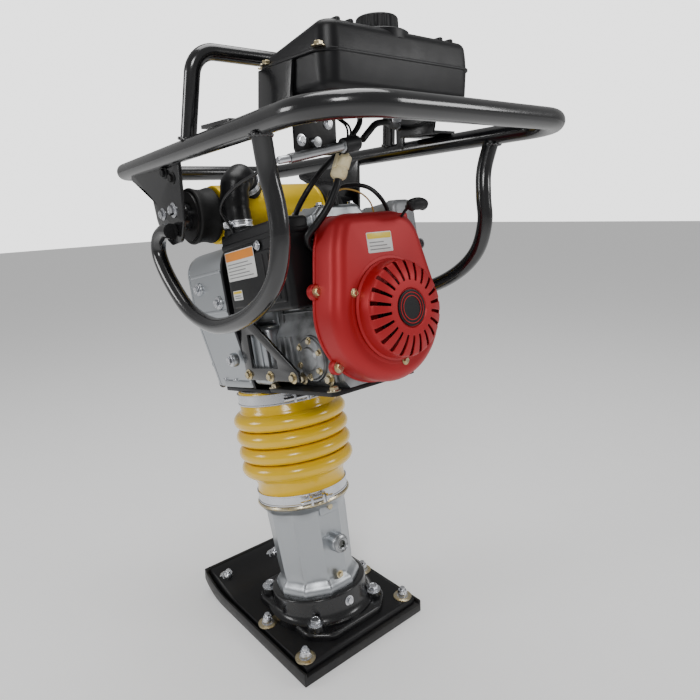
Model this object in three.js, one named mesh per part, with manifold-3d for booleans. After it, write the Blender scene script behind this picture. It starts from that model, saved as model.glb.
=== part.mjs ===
// Jumping jack rammer: a ramming shoe under a sprung, leaning leg, with a gear case and engine
// above it and a rubber-mounted handle loop that carries the fuel tank.
//
// Frame: millimetres, +Z up, origin at the centre of the flat sole. +X is the operator's side
// (rear), -X the direction of travel, +Y the machine's right. Leaned pieces are drawn in the
// frame of the leg: x rearwards, y right, z up along the leg axis from its foot.

import * as THREE from "three";
import { mergeVertices } from "three/addons/utils/BufferGeometryUtils.js";
import Module from "manifold-3d";

const wasm = await Module();
wasm.setup();

// ---------------------------------------------------------------- driving dimensions

const GAP = 0.3; // left between pieces that touch
const ROUND = 24; // sides of a large round piece
const LEAN = THREE.MathUtils.degToRad(10.1); // leg axis, forward of vertical

// shoe
const SHOE_HALF_WIDTH = 146;
const HEEL_X = 165;
const TOE_X = -207;
const TOE_TOP = 55;
const SOLE_THICK = 18;
const BLOCK_THICK = 13;
const BLOCK_INSET = 9;
const LIP_WIDTH = 5;

// foot casting and leg
const LEG_X = 24; // foot of the leg axis
const LEG_Z = 40;
const FOOT_FLANGE_R = 116;
const FOOT_FLANGE_TOP = 45;
const FOOT_RING_R = 95;
const FOOT_BOLT_X = 78;
const FOOT_BOLT_Y = 73;
const FOOT_BOSS_R = 15;
const FOOT_BOSS_TOP = 55;
const LEG_BASE_R = 84;
const LEG_LOW_R = 74;
const LEG_HIGH_R = 79;
const LEG_BORE_R = 58;
const LEG_MOUTH_R = 73;
const LEG_TOP = 216; // top of the leg's shoulder, along the leg axis
const LEG_NECK_R = 83;
const LEG_NECK_TOP = 247;
const SIGHT_X = 88; // face of the oil sight glass
const SIGHT_Y = 8;
const SIGHT_Z = 128;
const SIGHT_R = 11;

// springs and ram
const SPRING_CYL_R = 56;
const SPRING_CYL_WALL = 5;
const SPRING_CYL_LOW = 64;
const SPRING_CYL_TOP = 390;
const SPRING_R = 38;
const SPRING_WIRE_R = 4.5;
const ROD_R = 14;
const PISTON_R = 48;
const PISTON_LOW = 222;
const PISTON_HIGH = 242;
const GUIDE_R = 70;
const GUIDE_BORE_R = 60;
const GUIDE_LOW = 238;

// bellows
const LOBES = 4;
const LOBE_R = 111;
const GROOVE_R = 97;
const LOBE_PITCH = 31.4;
const FIRST_LOBE = 292; // centre of the lowest lobe, along the leg axis
const BELLOWS_WALL = 3.5;
const MACHINE_NECK_R = 89;
const MACHINE_NECK_LOW = 404;
const CLAMP_WALL = 1.8;

// gear case and drive
const FLANGE_Z = 446; // underside of the bellows flange
const FLANGE_THICK = 7;
const FLANGE_HALF_U = 93;
const FLANGE_HALF_V = 85;
const CASE_FLOOR = FLANGE_Z + FLANGE_THICK + GAP;
const CASE_FRONT = -110;
const CASE_REAR = 27;
const CASE_HALF = 107;
const CASE_TOP = 719;
const CASE_WALL = 7;
const COVER_THICK = 8;
const HOUSING_THICK = 8;
const GEAR_MODULE = 2.5;
const GEAR_TEETH = 48;
const PINION_TEETH = 12;
const GEAR_FRONT = 15;
const GEAR_REAR = 25;
const CRANK_THROW = 22;
const CONROD_LENGTH = 95;
const CONROD_HALF = 7;
const SMALL_PIN_R = 7;
const CRANK_PIN_R = 10;
const RUNNING = 0.3; // radial play of the turning pieces
const ENGINE_Z = 572; // crankshaft, along the leg axis
const GEAR_Z = ENGINE_Z + (GEAR_MODULE * (GEAR_TEETH + PINION_TEETH)) / 2;
const PINION_SHAFT_R = 8;
const GEAR_SHAFT_R = 14;
const CLUTCH_R = 50;

// engine
const BLOCK_FRONT = 112;
const BLOCK_REAR = 285;
const BLOCK_HALF = 72;
const CYLINDER_HALF = 56;
const CYLINDER_TOP = 703;
const CRANK_R = 12;
const SHROUD_R = 110;
const SHROUD_DEPTH = 56;
const SHROUD_WALL = 3;
const SHROUD_BACK = BLOCK_REAR + GAP + SHROUD_DEPTH; // where the recoil cover is bolted
const SHROUD_Z = ENGINE_Z - 4;
const SHROUD_EARS = [[-106, 612], [-89, 497], [100, 612], [89, 497]];
const RECOIL_R = 74;
const RECOIL_DEPTH = 38;
const RECOIL_SLOTS = 16;
const FLYWHEEL_R = 86;
const FAN_VANES = 8;

// intake
const TUBE_X = 46; // cross tube axis, in the leg's frame
const TUBE_R = 50;
const TUBE_Z = CASE_TOP + TUBE_R + 1; // the tube lies on the case's roof
const TUBE_LEFT = -115;
const TUBE_RIGHT = 97;
const DAMPER_INSET = 3; // how far a damper's rubber stays inside the tube's radius
const DAMPER_R = TUBE_R - DAMPER_INSET;
const DAMPER_LENGTH = 48;
const ELBOW_R = 24;
const AIRBOX_LEFT = -128;
const AIRBOX_RIGHT = -76;
const AIRBOX_FRONT = 78;
const AIRBOX_REAR = 268;
const AIRBOX_LOW = 592;
const AIRBOX_TOP = 728;

// handle loop
const REAR_X = 415;
const REAR_HALF = 230;
const REAR_Z = 917;
const FRONT_X = -311;
const FRONT_HALF = 177;
const FRONT_Z = 891;
const LOOP_R = 14.5;
const REAR_BEND = 80;
const FRONT_BEND = 45;
const GUARD_R = 12.5;
const GUARD_Y = 203;
const BAR_R = 11.5;
const BAR_HALF = 190;
const BAR_TOP = 1034;
const BRACKET_THICK = 6;
const POST_X = 88; // post that holds the control hose
const POST_HEIGHT = 43;

// tank
const TANK_FRONT = 127;
const TANK_REAR = 278;
const TANK_LEFT = -122;
const TANK_RIGHT = 160;
const TANK_LOW = 955;
const TANK_SEAM = 1003;
const TANK_TOP = 1041;
const TANK_WALL = 4;
const FILLER_X = 232;
const FILLER_Y = 8;
const FILLER_R = 20;
const CAP_R = 30;
const CAP_HEIGHT = 25;

// ---------------------------------------------------------------- materials

const paint = (color, roughness, metalness = 0) =>
  new THREE.MeshStandardMaterial({ color, roughness, metalness });
const BLACK_COAT = paint(0x121214, 0.3);
const BLACK_CAST = paint(0x17181a, 0.4);
const BLACK_PLASTIC = paint(0x1a1b1d, 0.55);
const RUBBER = paint(0x161616, 0.8);
const SILVER_PAINT = paint(0x9aa1a6, 0.4, 0.4);
const BARE_STEEL = paint(0x8d9094, 0.35, 0.9);
const ZINC = paint(0xc9ccd0, 0.3, 0.9);
const YELLOW_RUBBER = paint(0xf2c200, 0.35);
const YELLOW_COAT = paint(0xf0c808, 0.3);
const RED_COAT = paint(0xa80f1a, 0.25);
const ALLOY = paint(0x6c7074, 0.5, 0.6);
const IVORY = paint(0xe6dcb0, 0.5);
const GLASS = paint(0x6f7f6a, 0.1);

// ---------------------------------------------------------------- shape helpers

// A closed three.js geometry as a solid, with its faces turned outwards.
function solid(geometry) {
  const bare = new THREE.BufferGeometry();
  bare.setAttribute("position", geometry.getAttribute("position"));
  if (geometry.index) bare.setIndex(geometry.index);
  const merged = mergeVertices(bare, 1e-4);
  const build = (triVerts) =>
    new wasm.Manifold(
      new wasm.Mesh({ numProp: 3, vertProperties: merged.attributes.position.array, triVerts }),
    );
  const faces = new Uint32Array(merged.index.array);
  const made = build(faces);
  if (made.volume() > 0) return made;
  for (let i = 0; i < faces.length; i += 3)
    [faces[i + 1], faces[i + 2]] = [faces[i + 2], faces[i + 1]];
  return build(faces);
}

function geometryOf(made) {
  const mesh = made.getMesh();
  const geometry = new THREE.BufferGeometry();
  geometry.setAttribute("position", new THREE.BufferAttribute(mesh.vertProperties, 3));
  geometry.setIndex(new THREE.BufferAttribute(mesh.triVerts, 1));
  const flat = geometry.toNonIndexed();
  flat.computeVertexNormals();
  return flat;
}

const join = (...solids) => solids.reduce((a, b) => a.add(b));
const cut = (base, ...tools) => tools.reduce((a, b) => a.subtract(b), base);
const moved = (made, x, y, z) => made.translate([x, y, z]);
const mirrored = (made) => made.mirror([0, 1, 0]);

function block(x0, x1, y0, y1, z0, z1) {
  const box = new THREE.BoxGeometry(x1 - x0, y1 - y0, z1 - z0);
  return solid(box.translate((x0 + x1) / 2, (y0 + y1) / 2, (z0 + z1) / 2));
}

// A round bar along one axis; a and b are its place on the other two, in x, y, z order.
function bar(axis, radius, from, to, a = 0, b = 0, sides = ROUND) {
  const rod = new THREE.CylinderGeometry(radius, radius, to - from, sides);
  const middle = (from + to) / 2;
  if (axis === "x") rod.rotateZ(-Math.PI / 2).translate(middle, a, b);
  if (axis === "y") rod.translate(a, middle, b);
  if (axis === "z") rod.rotateX(Math.PI / 2).translate(a, b, middle);
  return solid(rod);
}

// A profile of [radius, height] turned about Z, or about X when axis is "x".
function turned(profile, sides = ROUND, axis = "z") {
  const lathe = new THREE.LatheGeometry(profile.map(([r, h]) => new THREE.Vector2(r, h)), sides);
  if (axis === "x") lathe.rotateZ(-Math.PI / 2);
  else lathe.rotateX(Math.PI / 2);
  return solid(lathe);
}

const hollow = (outer, inner, low, high) =>
  turned([[inner, low], [outer, low], [outer, high], [inner, high], [inner, low]]);

const AXES = {
  xy: new THREE.Matrix4(),
  xz: new THREE.Matrix4().set(1, 0, 0, 0, 0, 0, -1, 0, 0, 1, 0, 0, 0, 0, 0, 1),
  yz: new THREE.Matrix4().set(0, 0, 1, 0, 1, 0, 0, 0, 0, 1, 0, 0, 0, 0, 0, 1),
};

// An outline in one plane, carried from `from` to `to` along the plane's normal.
function prism(plane, outline, from, to) {
  const drawn = outline instanceof THREE.Shape;
  const shape = drawn ? outline : new THREE.Shape(outline.map(([a, b]) => new THREE.Vector2(a, b)));
  const body = new THREE.ExtrudeGeometry(shape, { depth: to - from, bevelEnabled: false, curveSegments: 6 });
  body.translate(0, 0, plane === "xz" ? -to : from);
  return solid(body.applyMatrix4(AXES[plane]));
}

// A block with its four edges along Z rounded.
function rounded(x0, x1, y0, y1, z0, z1, radius) {
  const shape = new THREE.Shape();
  shape.absarc(x1 - radius, y1 - radius, radius, 0, Math.PI / 2);
  shape.absarc(x0 + radius, y1 - radius, radius, Math.PI / 2, Math.PI);
  shape.absarc(x0 + radius, y0 + radius, radius, Math.PI, 1.5 * Math.PI);
  shape.absarc(x1 - radius, y0 + radius, radius, 1.5 * Math.PI, 2 * Math.PI);
  return prism("xy", shape, z0, z1);
}

// A route that passes straight through its points, one tube section at each.
class Route extends THREE.Curve {
  constructor(points) {
    super();
    this.points = points;
  }
  getPoint(t) {
    const place = Math.min(t, 1) * (this.points.length - 1);
    const i = Math.min(Math.floor(place), this.points.length - 2);
    return this.points[i].clone().lerp(this.points[i + 1], place - i);
  }
  getPointAt(t) {
    return this.getPoint(t);
  }
  getTangentAt(t) {
    const i = Math.round(t * (this.points.length - 1));
    const before = this.points[Math.max(i - 1, 0)];
    const after = this.points[Math.min(i + 1, this.points.length - 1)];
    return after.clone().sub(before).normalize();
  }
}

function tube(points, radius, sides = 12) {
  const section = new THREE.Shape();
  section.absarc(0, 0, radius, 0, 2 * Math.PI);
  const route = new Route(points);
  const sweep = new THREE.ExtrudeGeometry(section, {
    extrudePath: route,
    steps: points.length - 1,
    curveSegments: sides / 2,
  });
  return solid(sweep);
}

const at = (x, y, z) => new THREE.Vector3(x, y, z);

// Straight runs through the corners, with each inner corner bent to its radius.
function bent(corners, radii, perBend = 6) {
  const points = [corners[0]];
  for (let i = 1; i < corners.length - 1; i++) {
    const back = corners[i - 1].clone().sub(corners[i]).normalize();
    const ahead = corners[i + 1].clone().sub(corners[i]).normalize();
    const half = back.angleTo(ahead) / 2;
    const reach = radii[i - 1] / Math.tan(half);
    const middle = back.clone().add(ahead).normalize();
    const centre = corners[i].clone().addScaledVector(middle, radii[i - 1] / Math.sin(half));
    const start = corners[i].clone().addScaledVector(back, reach).sub(centre);
    const axis = back.clone().cross(ahead).normalize();
    const sweep = Math.PI - 2 * half;
    for (let k = 0; k <= perBend; k++)
      points.push(start.clone().applyAxisAngle(axis, (-sweep * k) / perBend).add(centre));
  }
  points.push(corners.at(-1));
  return points;
}

// A smooth route through hand-chosen points.
const smooth = (points, steps) => new THREE.CatmullRomCurve3(points, false, "centripetal").getPoints(steps);

// ---------------------------------------------------------------- the assembly tree

const rammer = new THREE.Group();
const leaned = new THREE.Group();
leaned.position.set(LEG_X, 0, LEG_Z);
leaned.rotation.y = -LEAN;
rammer.add(leaned);

function add(group, name, made, material) {
  const mesh = new THREE.Mesh(geometryOf(made), material);
  mesh.name = name;
  group.add(mesh);
}

// A solid or a point drawn in the leg's frame, carried into the machine's frame.
const LEG_FRAME = new THREE.Matrix4().makeRotationY(-LEAN).setPosition(LEG_X, 0, LEG_Z);
const fromLeg = (made) => made.transform([...LEG_FRAME.elements]);
const legPoint = (x, y, z) => at(x, y, z).applyMatrix4(LEG_FRAME);

// ---------------------------------------------------------------- shoe and foot

// The sled profile of the shoe: flat sole, toe swept up at the front.
function sledShape(top, toeInner, curveStart) {
  const shape = new THREE.Shape();
  shape.moveTo(HEEL_X, 0);
  shape.lineTo(-128, 0);
  shape.quadraticCurveTo(-180, 0, TOE_X, 30);
  shape.lineTo(TOE_X + 3, TOE_TOP);
  shape.lineTo(toeInner, TOE_TOP);
  shape.lineTo(toeInner, top + 22);
  shape.quadraticCurveTo(-160, top, curveStart, top);
  shape.lineTo(HEEL_X, top);
  return shape;
}

function shoe() {
  const toeInner = TOE_X + 11;
  const plate = prism("xz", sledShape(SOLE_THICK, toeInner, -100), -SHOE_HALF_WIDTH, SHOE_HALF_WIDTH);
  const lipShape = sledShape(SOLE_THICK + 8, toeInner, -100);
  const lip = prism("xz", lipShape, SHOE_HALF_WIDTH - LIP_WIDTH, SHOE_HALF_WIDTH);
  add(rammer, "sole_plate", join(plate, lip, mirrored(lip)), BLACK_CAST);

  const low = SOLE_THICK + GAP;
  const high = low + BLOCK_THICK;
  const front = toeInner + GAP;
  const side = new THREE.Shape();
  side.moveTo(HEEL_X - BLOCK_INSET, low);
  side.lineTo(-100, low);
  side.quadraticCurveTo(-160, low, front, low + 22);
  side.lineTo(front, TOE_TOP - 1);
  side.quadraticCurveTo(-142, TOE_TOP - 2, -96, high);
  side.lineTo(HEEL_X - BLOCK_INSET - 4, high);
  side.lineTo(HEEL_X - BLOCK_INSET, high - 4);
  const half = SHOE_HALF_WIDTH - BLOCK_INSET;
  add(rammer, "shoe_block", prism("xz", side, -half, half), BLACK_CAST);
}

function footCasting() {
  const base = SOLE_THICK + BLOCK_THICK + 2 * GAP;
  const flange = moved(
    turned([[0, base], [FOOT_FLANGE_R, base], [FOOT_FLANGE_R, FOOT_FLANGE_TOP - 5],
      [FOOT_FLANGE_R - 6, FOOT_FLANGE_TOP], [0, FOOT_FLANGE_TOP]]),
    LEG_X, 0, 0);
  const sides = block(-200, 200, -FOOT_BOLT_Y - 24, FOOT_BOLT_Y + 24, 0, 100);
  const ring = fromLeg(turned([[0, -30], [FOOT_RING_R + 7, -30], [FOOT_RING_R, 0],
    [FOOT_RING_R - 4, LEG_Z - 2], [0, LEG_Z - 2]]));
  const ground = block(-200, 250, -200, 200, base, 200);
  let casting = join(flange.intersect(sides), ring.intersect(ground));
  for (const x of [-FOOT_BOLT_X, FOOT_BOLT_X])
    for (const y of [-FOOT_BOLT_Y, FOOT_BOLT_Y])
      casting = casting.add(bar("z", FOOT_BOSS_R, base, FOOT_BOSS_TOP, LEG_X + x, y, 12));
  const core = fromLeg(bar("z", LEG_BORE_R, -40, LEG_Z - 12));
  add(rammer, "foot_casting", cut(casting, core.intersect(block(-200, 250, -200, 200, 0, 62))), BLACK_CAST);
}

// ---------------------------------------------------------------- leg, springs and ram

function leg() {
  const floor = LEG_Z - 2 + GAP;
  const body = turned([[0, floor + 12], [LEG_LOW_R, floor + 12], [LEG_LOW_R, floor + 22],
    [LEG_HIGH_R, LEG_TOP - 8], [0, LEG_TOP - 8]], 10);
  const foot = turned([[0, floor], [LEG_BASE_R, floor], [LEG_BASE_R, floor + 7],
    [LEG_LOW_R, floor + 13], [0, floor + 13]], 12);
  const neck = turned([[0, LEG_TOP - 14], [LEG_HIGH_R - 4, LEG_TOP - 14], [LEG_NECK_R + 7, LEG_TOP - 5],
    [LEG_NECK_R + 7, LEG_TOP], [LEG_NECK_R, LEG_TOP], [LEG_NECK_R, LEG_NECK_TOP], [0, LEG_NECK_TOP]]);
  const glassBoss = bar("x", SIGHT_R + 6, 40, SIGHT_X, SIGHT_Y, SIGHT_Z, 16);
  const glassSeat = bar("x", SIGHT_R + GAP, SIGHT_X - 6, SIGHT_X + 1, SIGHT_Y, SIGHT_Z, 16);
  const bore = bar("z", LEG_BORE_R, SPRING_CYL_LOW - 6, LEG_NECK_TOP + 1);
  const mouth = bar("z", LEG_MOUTH_R, LEG_TOP - 22, LEG_NECK_TOP + 1);
  add(leaned, "leg_casting", cut(join(body, foot, neck, glassBoss), bore, mouth, glassSeat), SILVER_PAINT);
  const glass = turned([[0, SIGHT_X - 6 + GAP], [SIGHT_R, SIGHT_X - 6 + GAP], [SIGHT_R, SIGHT_X + 2],
    [SIGHT_R - 3, SIGHT_X + 2], [SIGHT_R - 4, SIGHT_X], [0, SIGHT_X]], 16, "x");
  add(leaned, "sight_glass", moved(glass, 0, SIGHT_Y, SIGHT_Z), GLASS);
}

function helix(low, high, turns) {
  const points = [];
  const perTurn = 6;
  const steps = turns * perTurn;
  for (let i = 0; i <= steps; i++) {
    const angle = (2 * Math.PI * i) / perTurn;
    const rise = low + ((high - low) * i) / steps;
    points.push(at(SPRING_R * Math.cos(angle), SPRING_R * Math.sin(angle), rise));
  }
  return tube(points, SPRING_WIRE_R, 4);
}

function springs() {
  const inner = SPRING_CYL_R - SPRING_CYL_WALL;
  const floor = SPRING_CYL_LOW + 8;
  const lid = SPRING_CYL_TOP - 12;
  const shell = turned([[0, SPRING_CYL_LOW], [SPRING_CYL_R, SPRING_CYL_LOW],
    [SPRING_CYL_R, SPRING_CYL_TOP], [ROD_R + RUNNING, SPRING_CYL_TOP], [ROD_R + RUNNING, lid],
    [inner, lid], [inner, floor], [0, floor]]);
  add(leaned, "spring_cylinder", shell, BARE_STEEL);
  const clear = SPRING_WIRE_R + 1;
  add(leaned, "lower_spring", helix(floor + clear, PISTON_LOW - clear, 7), ZINC);
  add(leaned, "upper_spring", helix(PISTON_HIGH + clear, lid - clear, 6), ZINC);
}

// The ram: piston, rod and the fork that takes the small end of the connecting rod.
function ram() {
  const smallEnd = GEAR_Z - CRANK_THROW - CONROD_LENGTH;
  const forkFloor = smallEnd - 18 - 2 * CRANK_THROW;
  const rod = turned([[0, PISTON_LOW], [PISTON_R, PISTON_LOW], [PISTON_R, PISTON_HIGH],
    [ROD_R, PISTON_HIGH], [ROD_R, forkFloor - 30], [24, forkFloor - 22], [24, forkFloor],
    [0, forkFloor]]);
  const ear = block(CONROD_HALF + 2, GEAR_FRONT - 1, -16, 16, forkFloor - 4, smallEnd + 14);
  const ears = join(ear, ear.mirror([1, 0, 0]));
  const bore = bar("x", SMALL_PIN_R + RUNNING, -40, 40, 0, smallEnd, 16);
  add(leaned, "ram", cut(join(rod, ears), bore), BARE_STEEL);
}

function guide() {
  const seat = FLANGE_Z - GAP;
  const outer = turned([[GUIDE_BORE_R, GUIDE_LOW], [GUIDE_R, GUIDE_LOW], [GUIDE_R, MACHINE_NECK_LOW],
    [MACHINE_NECK_R, MACHINE_NECK_LOW], [MACHINE_NECK_R, seat], [GUIDE_BORE_R, seat],
    [GUIDE_BORE_R, GUIDE_LOW]]);
  add(leaned, "guide_cylinder", outer, BARE_STEEL);
}

// ---------------------------------------------------------------- bellows and clamps

function bellows() {
  const low = LEG_TOP + GAP;
  const high = FLANGE_Z - 2;
  const collar = 4;
  const outer = [[LEG_NECK_R + GAP + collar, low], [LEG_NECK_R + GAP + collar, LEG_NECK_TOP + 4]];
  const last = FIRST_LOBE + (LOBES - 1) * LOBE_PITCH;
  const start = FIRST_LOBE - LOBE_PITCH / 2;
  const perLobe = 4;
  for (let i = 0; i <= LOBES * perLobe; i++) {
    const wave = Math.sqrt(Math.abs(Math.sin((Math.PI * i) / perLobe)));
    outer.push([GROOVE_R + (LOBE_R - GROOVE_R) * wave, start + (LOBE_PITCH * i) / perLobe]);
  }
  outer[2][0] = LEG_NECK_R + 10;
  outer.push([MACHINE_NECK_R + GAP + collar, last + LOBE_PITCH / 2 + 6]);
  outer.push([MACHINE_NECK_R + GAP + collar, high]);
  const inner = outer.filter((_, i) => i < 3 || i > LOBES * perLobe || i % 2 === 0)
    .map(([r, h]) => [r - BELLOWS_WALL, h]).reverse();
  const rubber = turned([...outer, ...inner, outer[0]]);
  const necks = join(bar("z", LEG_NECK_R + GAP, low - 1, LEG_NECK_TOP + GAP),
    bar("z", MACHINE_NECK_R + GAP, MACHINE_NECK_LOW - GAP, high + 1));
  add(leaned, "bellows", cut(rubber, necks), YELLOW_RUBBER);
  const band = (r, z0, z1) => hollow(r + GAP + CLAMP_WALL, r + GAP, z0, z1);
  const lowR = LEG_NECK_R + GAP + collar;
  const ear = block(lowR, lowR + 15, -16, -6, LEG_TOP + 11, LEG_TOP + 23);
  const bolt = bar("y", 4.5, -34, 30, lowR + 8, LEG_TOP + 17, 16);
  const grip = cut(join(ear, ear.translate([0, 22, 0]), bolt), bar("z", lowR + GAP, 200, 260));
  const clamp = join(band(lowR, LEG_TOP + 7, LEG_TOP + 27), grip);
  add(leaned, "lower_clamp", clamp, ZINC);
  add(leaned, "upper_clamp", band(MACHINE_NECK_R + GAP + collar, FLANGE_Z - 27, FLANGE_Z - 5), ZINC);
}

// ---------------------------------------------------------------- gear case and drive

// Outline of the gear case seen from the rear: narrow at the leg, wide and arched at the top.
function caseShape(grow) {
  const half = CASE_HALF + grow;
  const shape = new THREE.Shape();
  const floor = CASE_FLOOR + Math.max(-grow, 0);
  shape.moveTo(-FLANGE_HALF_V + 4 - grow, floor);
  shape.lineTo(FLANGE_HALF_V - 4 + grow, floor);
  shape.lineTo(half - 18, 500);
  shape.lineTo(half, 600);
  shape.lineTo(half, 672);
  shape.quadraticCurveTo(half - 4, CASE_TOP - 6 + grow, half - 46, CASE_TOP + grow);
  shape.lineTo(-half + 46, CASE_TOP + grow);
  shape.quadraticCurveTo(-half + 4, CASE_TOP - 6 + grow, -half, 672);
  shape.lineTo(-half, 600);
  shape.lineTo(-half + 18, 500);
  return shape;
}

function gearCase() {
  const flange = rounded(-FLANGE_HALF_U, FLANGE_HALF_U, -FLANGE_HALF_V, FLANGE_HALF_V,
    FLANGE_Z, FLANGE_Z + FLANGE_THICK, 16);
  const throat = bar("z", GUIDE_BORE_R, FLANGE_Z - 10, CASE_FLOOR + 40);
  add(leaned, "bellows_flange", cut(flange, throat), BLACK_CAST);
  const foot = rounded(-FLANGE_HALF_U + 2, CASE_REAR, -FLANGE_HALF_V, FLANGE_HALF_V,
    CASE_FLOOR, CASE_FLOOR + 14, 12);
  const shell = prism("yz", caseShape(0), CASE_FRONT, CASE_REAR);
  const cavity = prism("yz", caseShape(-CASE_WALL), CASE_FRONT - 1, CASE_REAR + 1);
  const pads = join(bar("y", 12, -CASE_HALF - 4, -CASE_HALF + 8, -70, 640, 24),
    bar("y", 12, CASE_HALF - 8, CASE_HALF + 4, -70, 640, 24));
  add(leaned, "gear_case", cut(join(shell, foot, pads), cavity, throat), SILVER_PAINT);

  const coverBack = CASE_FRONT - GAP;
  const cover = prism("yz", caseShape(0), coverBack - COVER_THICK, coverBack);
  const bulge = turned([[0, coverBack - 30], [58, coverBack - 28], [74, coverBack - COVER_THICK + 1],
    [0, coverBack - COVER_THICK + 1]], ROUND, "x").translate([0, 0, 610]);
  add(leaned, "gear_case_cover", join(cover, bulge), SILVER_PAINT);
}

function clutchHousing() {
  const front = CASE_REAR + GAP;
  const flange = prism("yz", caseShape(4), front, front + HOUSING_THICK);
  const bellRear = BLOCK_FRONT - GAP;
  const bell = bar("x", CLUTCH_R + 10, front, bellRear, 0, ENGINE_Z);
  const inside = bar("x", CLUTCH_R + 4, front + HOUSING_THICK, bellRear + 1, 0, ENGINE_Z);
  const boss = bar("x", GEAR_SHAFT_R + 10, front, front + 26, 0, GEAR_Z);
  const gearSeat = bar("x", GEAR_SHAFT_R + RUNNING, front - 1, front + 22, 0, GEAR_Z);
  const pinionSeat = bar("x", PINION_SHAFT_R + RUNNING, front - 1, front + 30, 0, ENGINE_Z);
  const spring = bar("y", TUBE_R + GAP, -200, 200, TUBE_X, TUBE_Z);
  const housing = cut(join(flange, bell, boss), inside, gearSeat, pinionSeat, spring);
  add(leaned, "clutch_housing", housing, BLACK_CAST);
}

// A spur gear about X with straight-sided teeth, each a little narrower than the space it meets.
function gear(teeth, from, to, z, phase) {
  const pitch = (GEAR_MODULE * teeth) / 2;
  const step = (2 * Math.PI) / teeth;
  const outline = [];
  const corners = [[-1.25, 0.34], [1, 0.12]];
  for (let i = 0; i < teeth; i++) {
    const middle = phase + i * step;
    for (const [height, half] of corners)
      outline.push([pitch + height * GEAR_MODULE, middle - half * step]);
    for (const [height, half] of [...corners].reverse())
      outline.push([pitch + height * GEAR_MODULE, middle + half * step]);
  }
  const flat = outline.map(([r, a]) => [r * Math.sin(a), z + r * Math.cos(a)]);
  return prism("yz", flat, from, to);
}

function drive() {
  const pinZ = GEAR_Z - CRANK_THROW;
  const disc = gear(GEAR_TEETH, GEAR_FRONT, GEAR_REAR, GEAR_Z, Math.PI / GEAR_TEETH);
  const shaft = bar("x", GEAR_SHAFT_R, GEAR_REAR, CASE_REAR + 20, 0, GEAR_Z);
  const pin = bar("x", CRANK_PIN_R, -CONROD_HALF - 3, GEAR_FRONT, 0, pinZ, 16);
  add(leaned, "crank_gear", join(disc, shaft, pin), BARE_STEEL);

  const smallEnd = pinZ - CONROD_LENGTH;
  const shank = block(-7, 7, -9, 9, smallEnd, pinZ);
  const eyes = join(bar("x", 22, -CONROD_HALF, CONROD_HALF, 0, pinZ),
    bar("x", 16, -CONROD_HALF, CONROD_HALF, 0, smallEnd, 16));
  const bigBore = bar("x", CRANK_PIN_R + RUNNING, -30, 30, 0, pinZ, 16);
  const smallPin = bar("x", SMALL_PIN_R, -CONROD_HALF - 1, CONROD_HALF + 1, 0, smallEnd, 16);
  add(leaned, "connecting_rod", cut(join(shank, eyes, smallPin), bigBore), BARE_STEEL);

  const drumFront = CASE_REAR + HOUSING_THICK + 9;
  const pinion = gear(PINION_TEETH, GEAR_FRONT, GEAR_REAR, ENGINE_Z, 0);
  const spindle = bar("x", PINION_SHAFT_R, GEAR_REAR, drumFront - GAP, 0, ENGINE_Z);
  add(leaned, "clutch_pinion", join(pinion, spindle), BARE_STEEL);
  const drum = turned([[0, drumFront], [CLUTCH_R, drumFront], [CLUTCH_R, drumFront + 30],
    [CLUTCH_R - 3, drumFront + 30], [CLUTCH_R - 3, drumFront + 4], [0, drumFront + 4]], ROUND, "x");
  add(leaned, "clutch_drum", drum.translate([0, 0, ENGINE_Z]), BARE_STEEL);
  const rotor = bar("x", CLUTCH_R - 6, drumFront + 6, drumFront + 26, 0, ENGINE_Z);
  const crank = bar("x", CRANK_R, drumFront + 20, SHROUD_BACK - 8, 0, ENGINE_Z, 16);
  add(leaned, "engine_crankshaft", join(rotor, crank), BARE_STEEL);
}

// ---------------------------------------------------------------- engine

function engine() {
  const plateLow = FLANGE_Z + FLANGE_THICK - 1;
  const plateFront = FLANGE_HALF_U + 2;
  const plate = rounded(plateFront, BLOCK_REAR, -95, 82, plateLow, plateLow + 7, 10);
  add(leaned, "engine_base", plate, BLACK_COAT);
  const low = plateLow + 7 + GAP;
  const sump = prism("yz", [[-BLOCK_HALF + 10, low], [BLOCK_HALF - 10, low], [BLOCK_HALF, low + 14],
    [BLOCK_HALF, 545], [CYLINDER_HALF, 572], [-CYLINDER_HALF, 572], [-BLOCK_HALF, 545],
    [-BLOCK_HALF, low + 14]], BLOCK_FRONT, BLOCK_REAR);
  const cylinder = block(BLOCK_FRONT + 14, BLOCK_REAR - 8, -CYLINDER_HALF, CYLINDER_HALF, 560, CYLINDER_TOP);
  const ring = bar("x", CLUTCH_R + 10, BLOCK_FRONT, BLOCK_FRONT + 14, 0, ENGINE_Z);
  const crankBore = bar("x", CRANK_R + 2, BLOCK_FRONT - 1, BLOCK_REAR + 1, 0, ENGINE_Z, 16);
  let motor = cut(join(sump, cylinder, ring), crankBore);
  for (let z = 590; z < CYLINDER_TOP - 8; z += 26)
    motor = cut(motor, block(BLOCK_FRONT, BLOCK_REAR, CYLINDER_HALF - 9, CYLINDER_HALF + 1, z, z + 6),
      block(BLOCK_FRONT, BLOCK_REAR, -CYLINDER_HALF - 1, -CYLINDER_HALF + 9, z, z + 6));
  add(leaned, "engine_block", motor, ALLOY);
  const top = CYLINDER_TOP + GAP;
  const gable = [[-50, top], [58, top], [60, top + 26], [44, top + 42], [-34, top + 42], [-50, top + 28]];
  const head = prism("yz", gable, BLOCK_FRONT, BLOCK_REAR - 40);
  add(leaned, "head_cover", head, SILVER_PAINT);
  const web = [[36, 474], [36, 589], [72, 589], [204, 490], [204, 474]];
  const window = [[62, 496], [62, 556], [84, 556], [146, 510], [146, 496]];
  const edge = FLANGE_HALF_V + 15;
  const bracket = cut(prism("xz", web, -edge, -edge + 5), prism("xz", window, -edge - 1, -edge + 6));
  add(leaned, "engine_bracket", bracket, BLACK_COAT);
}

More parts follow.
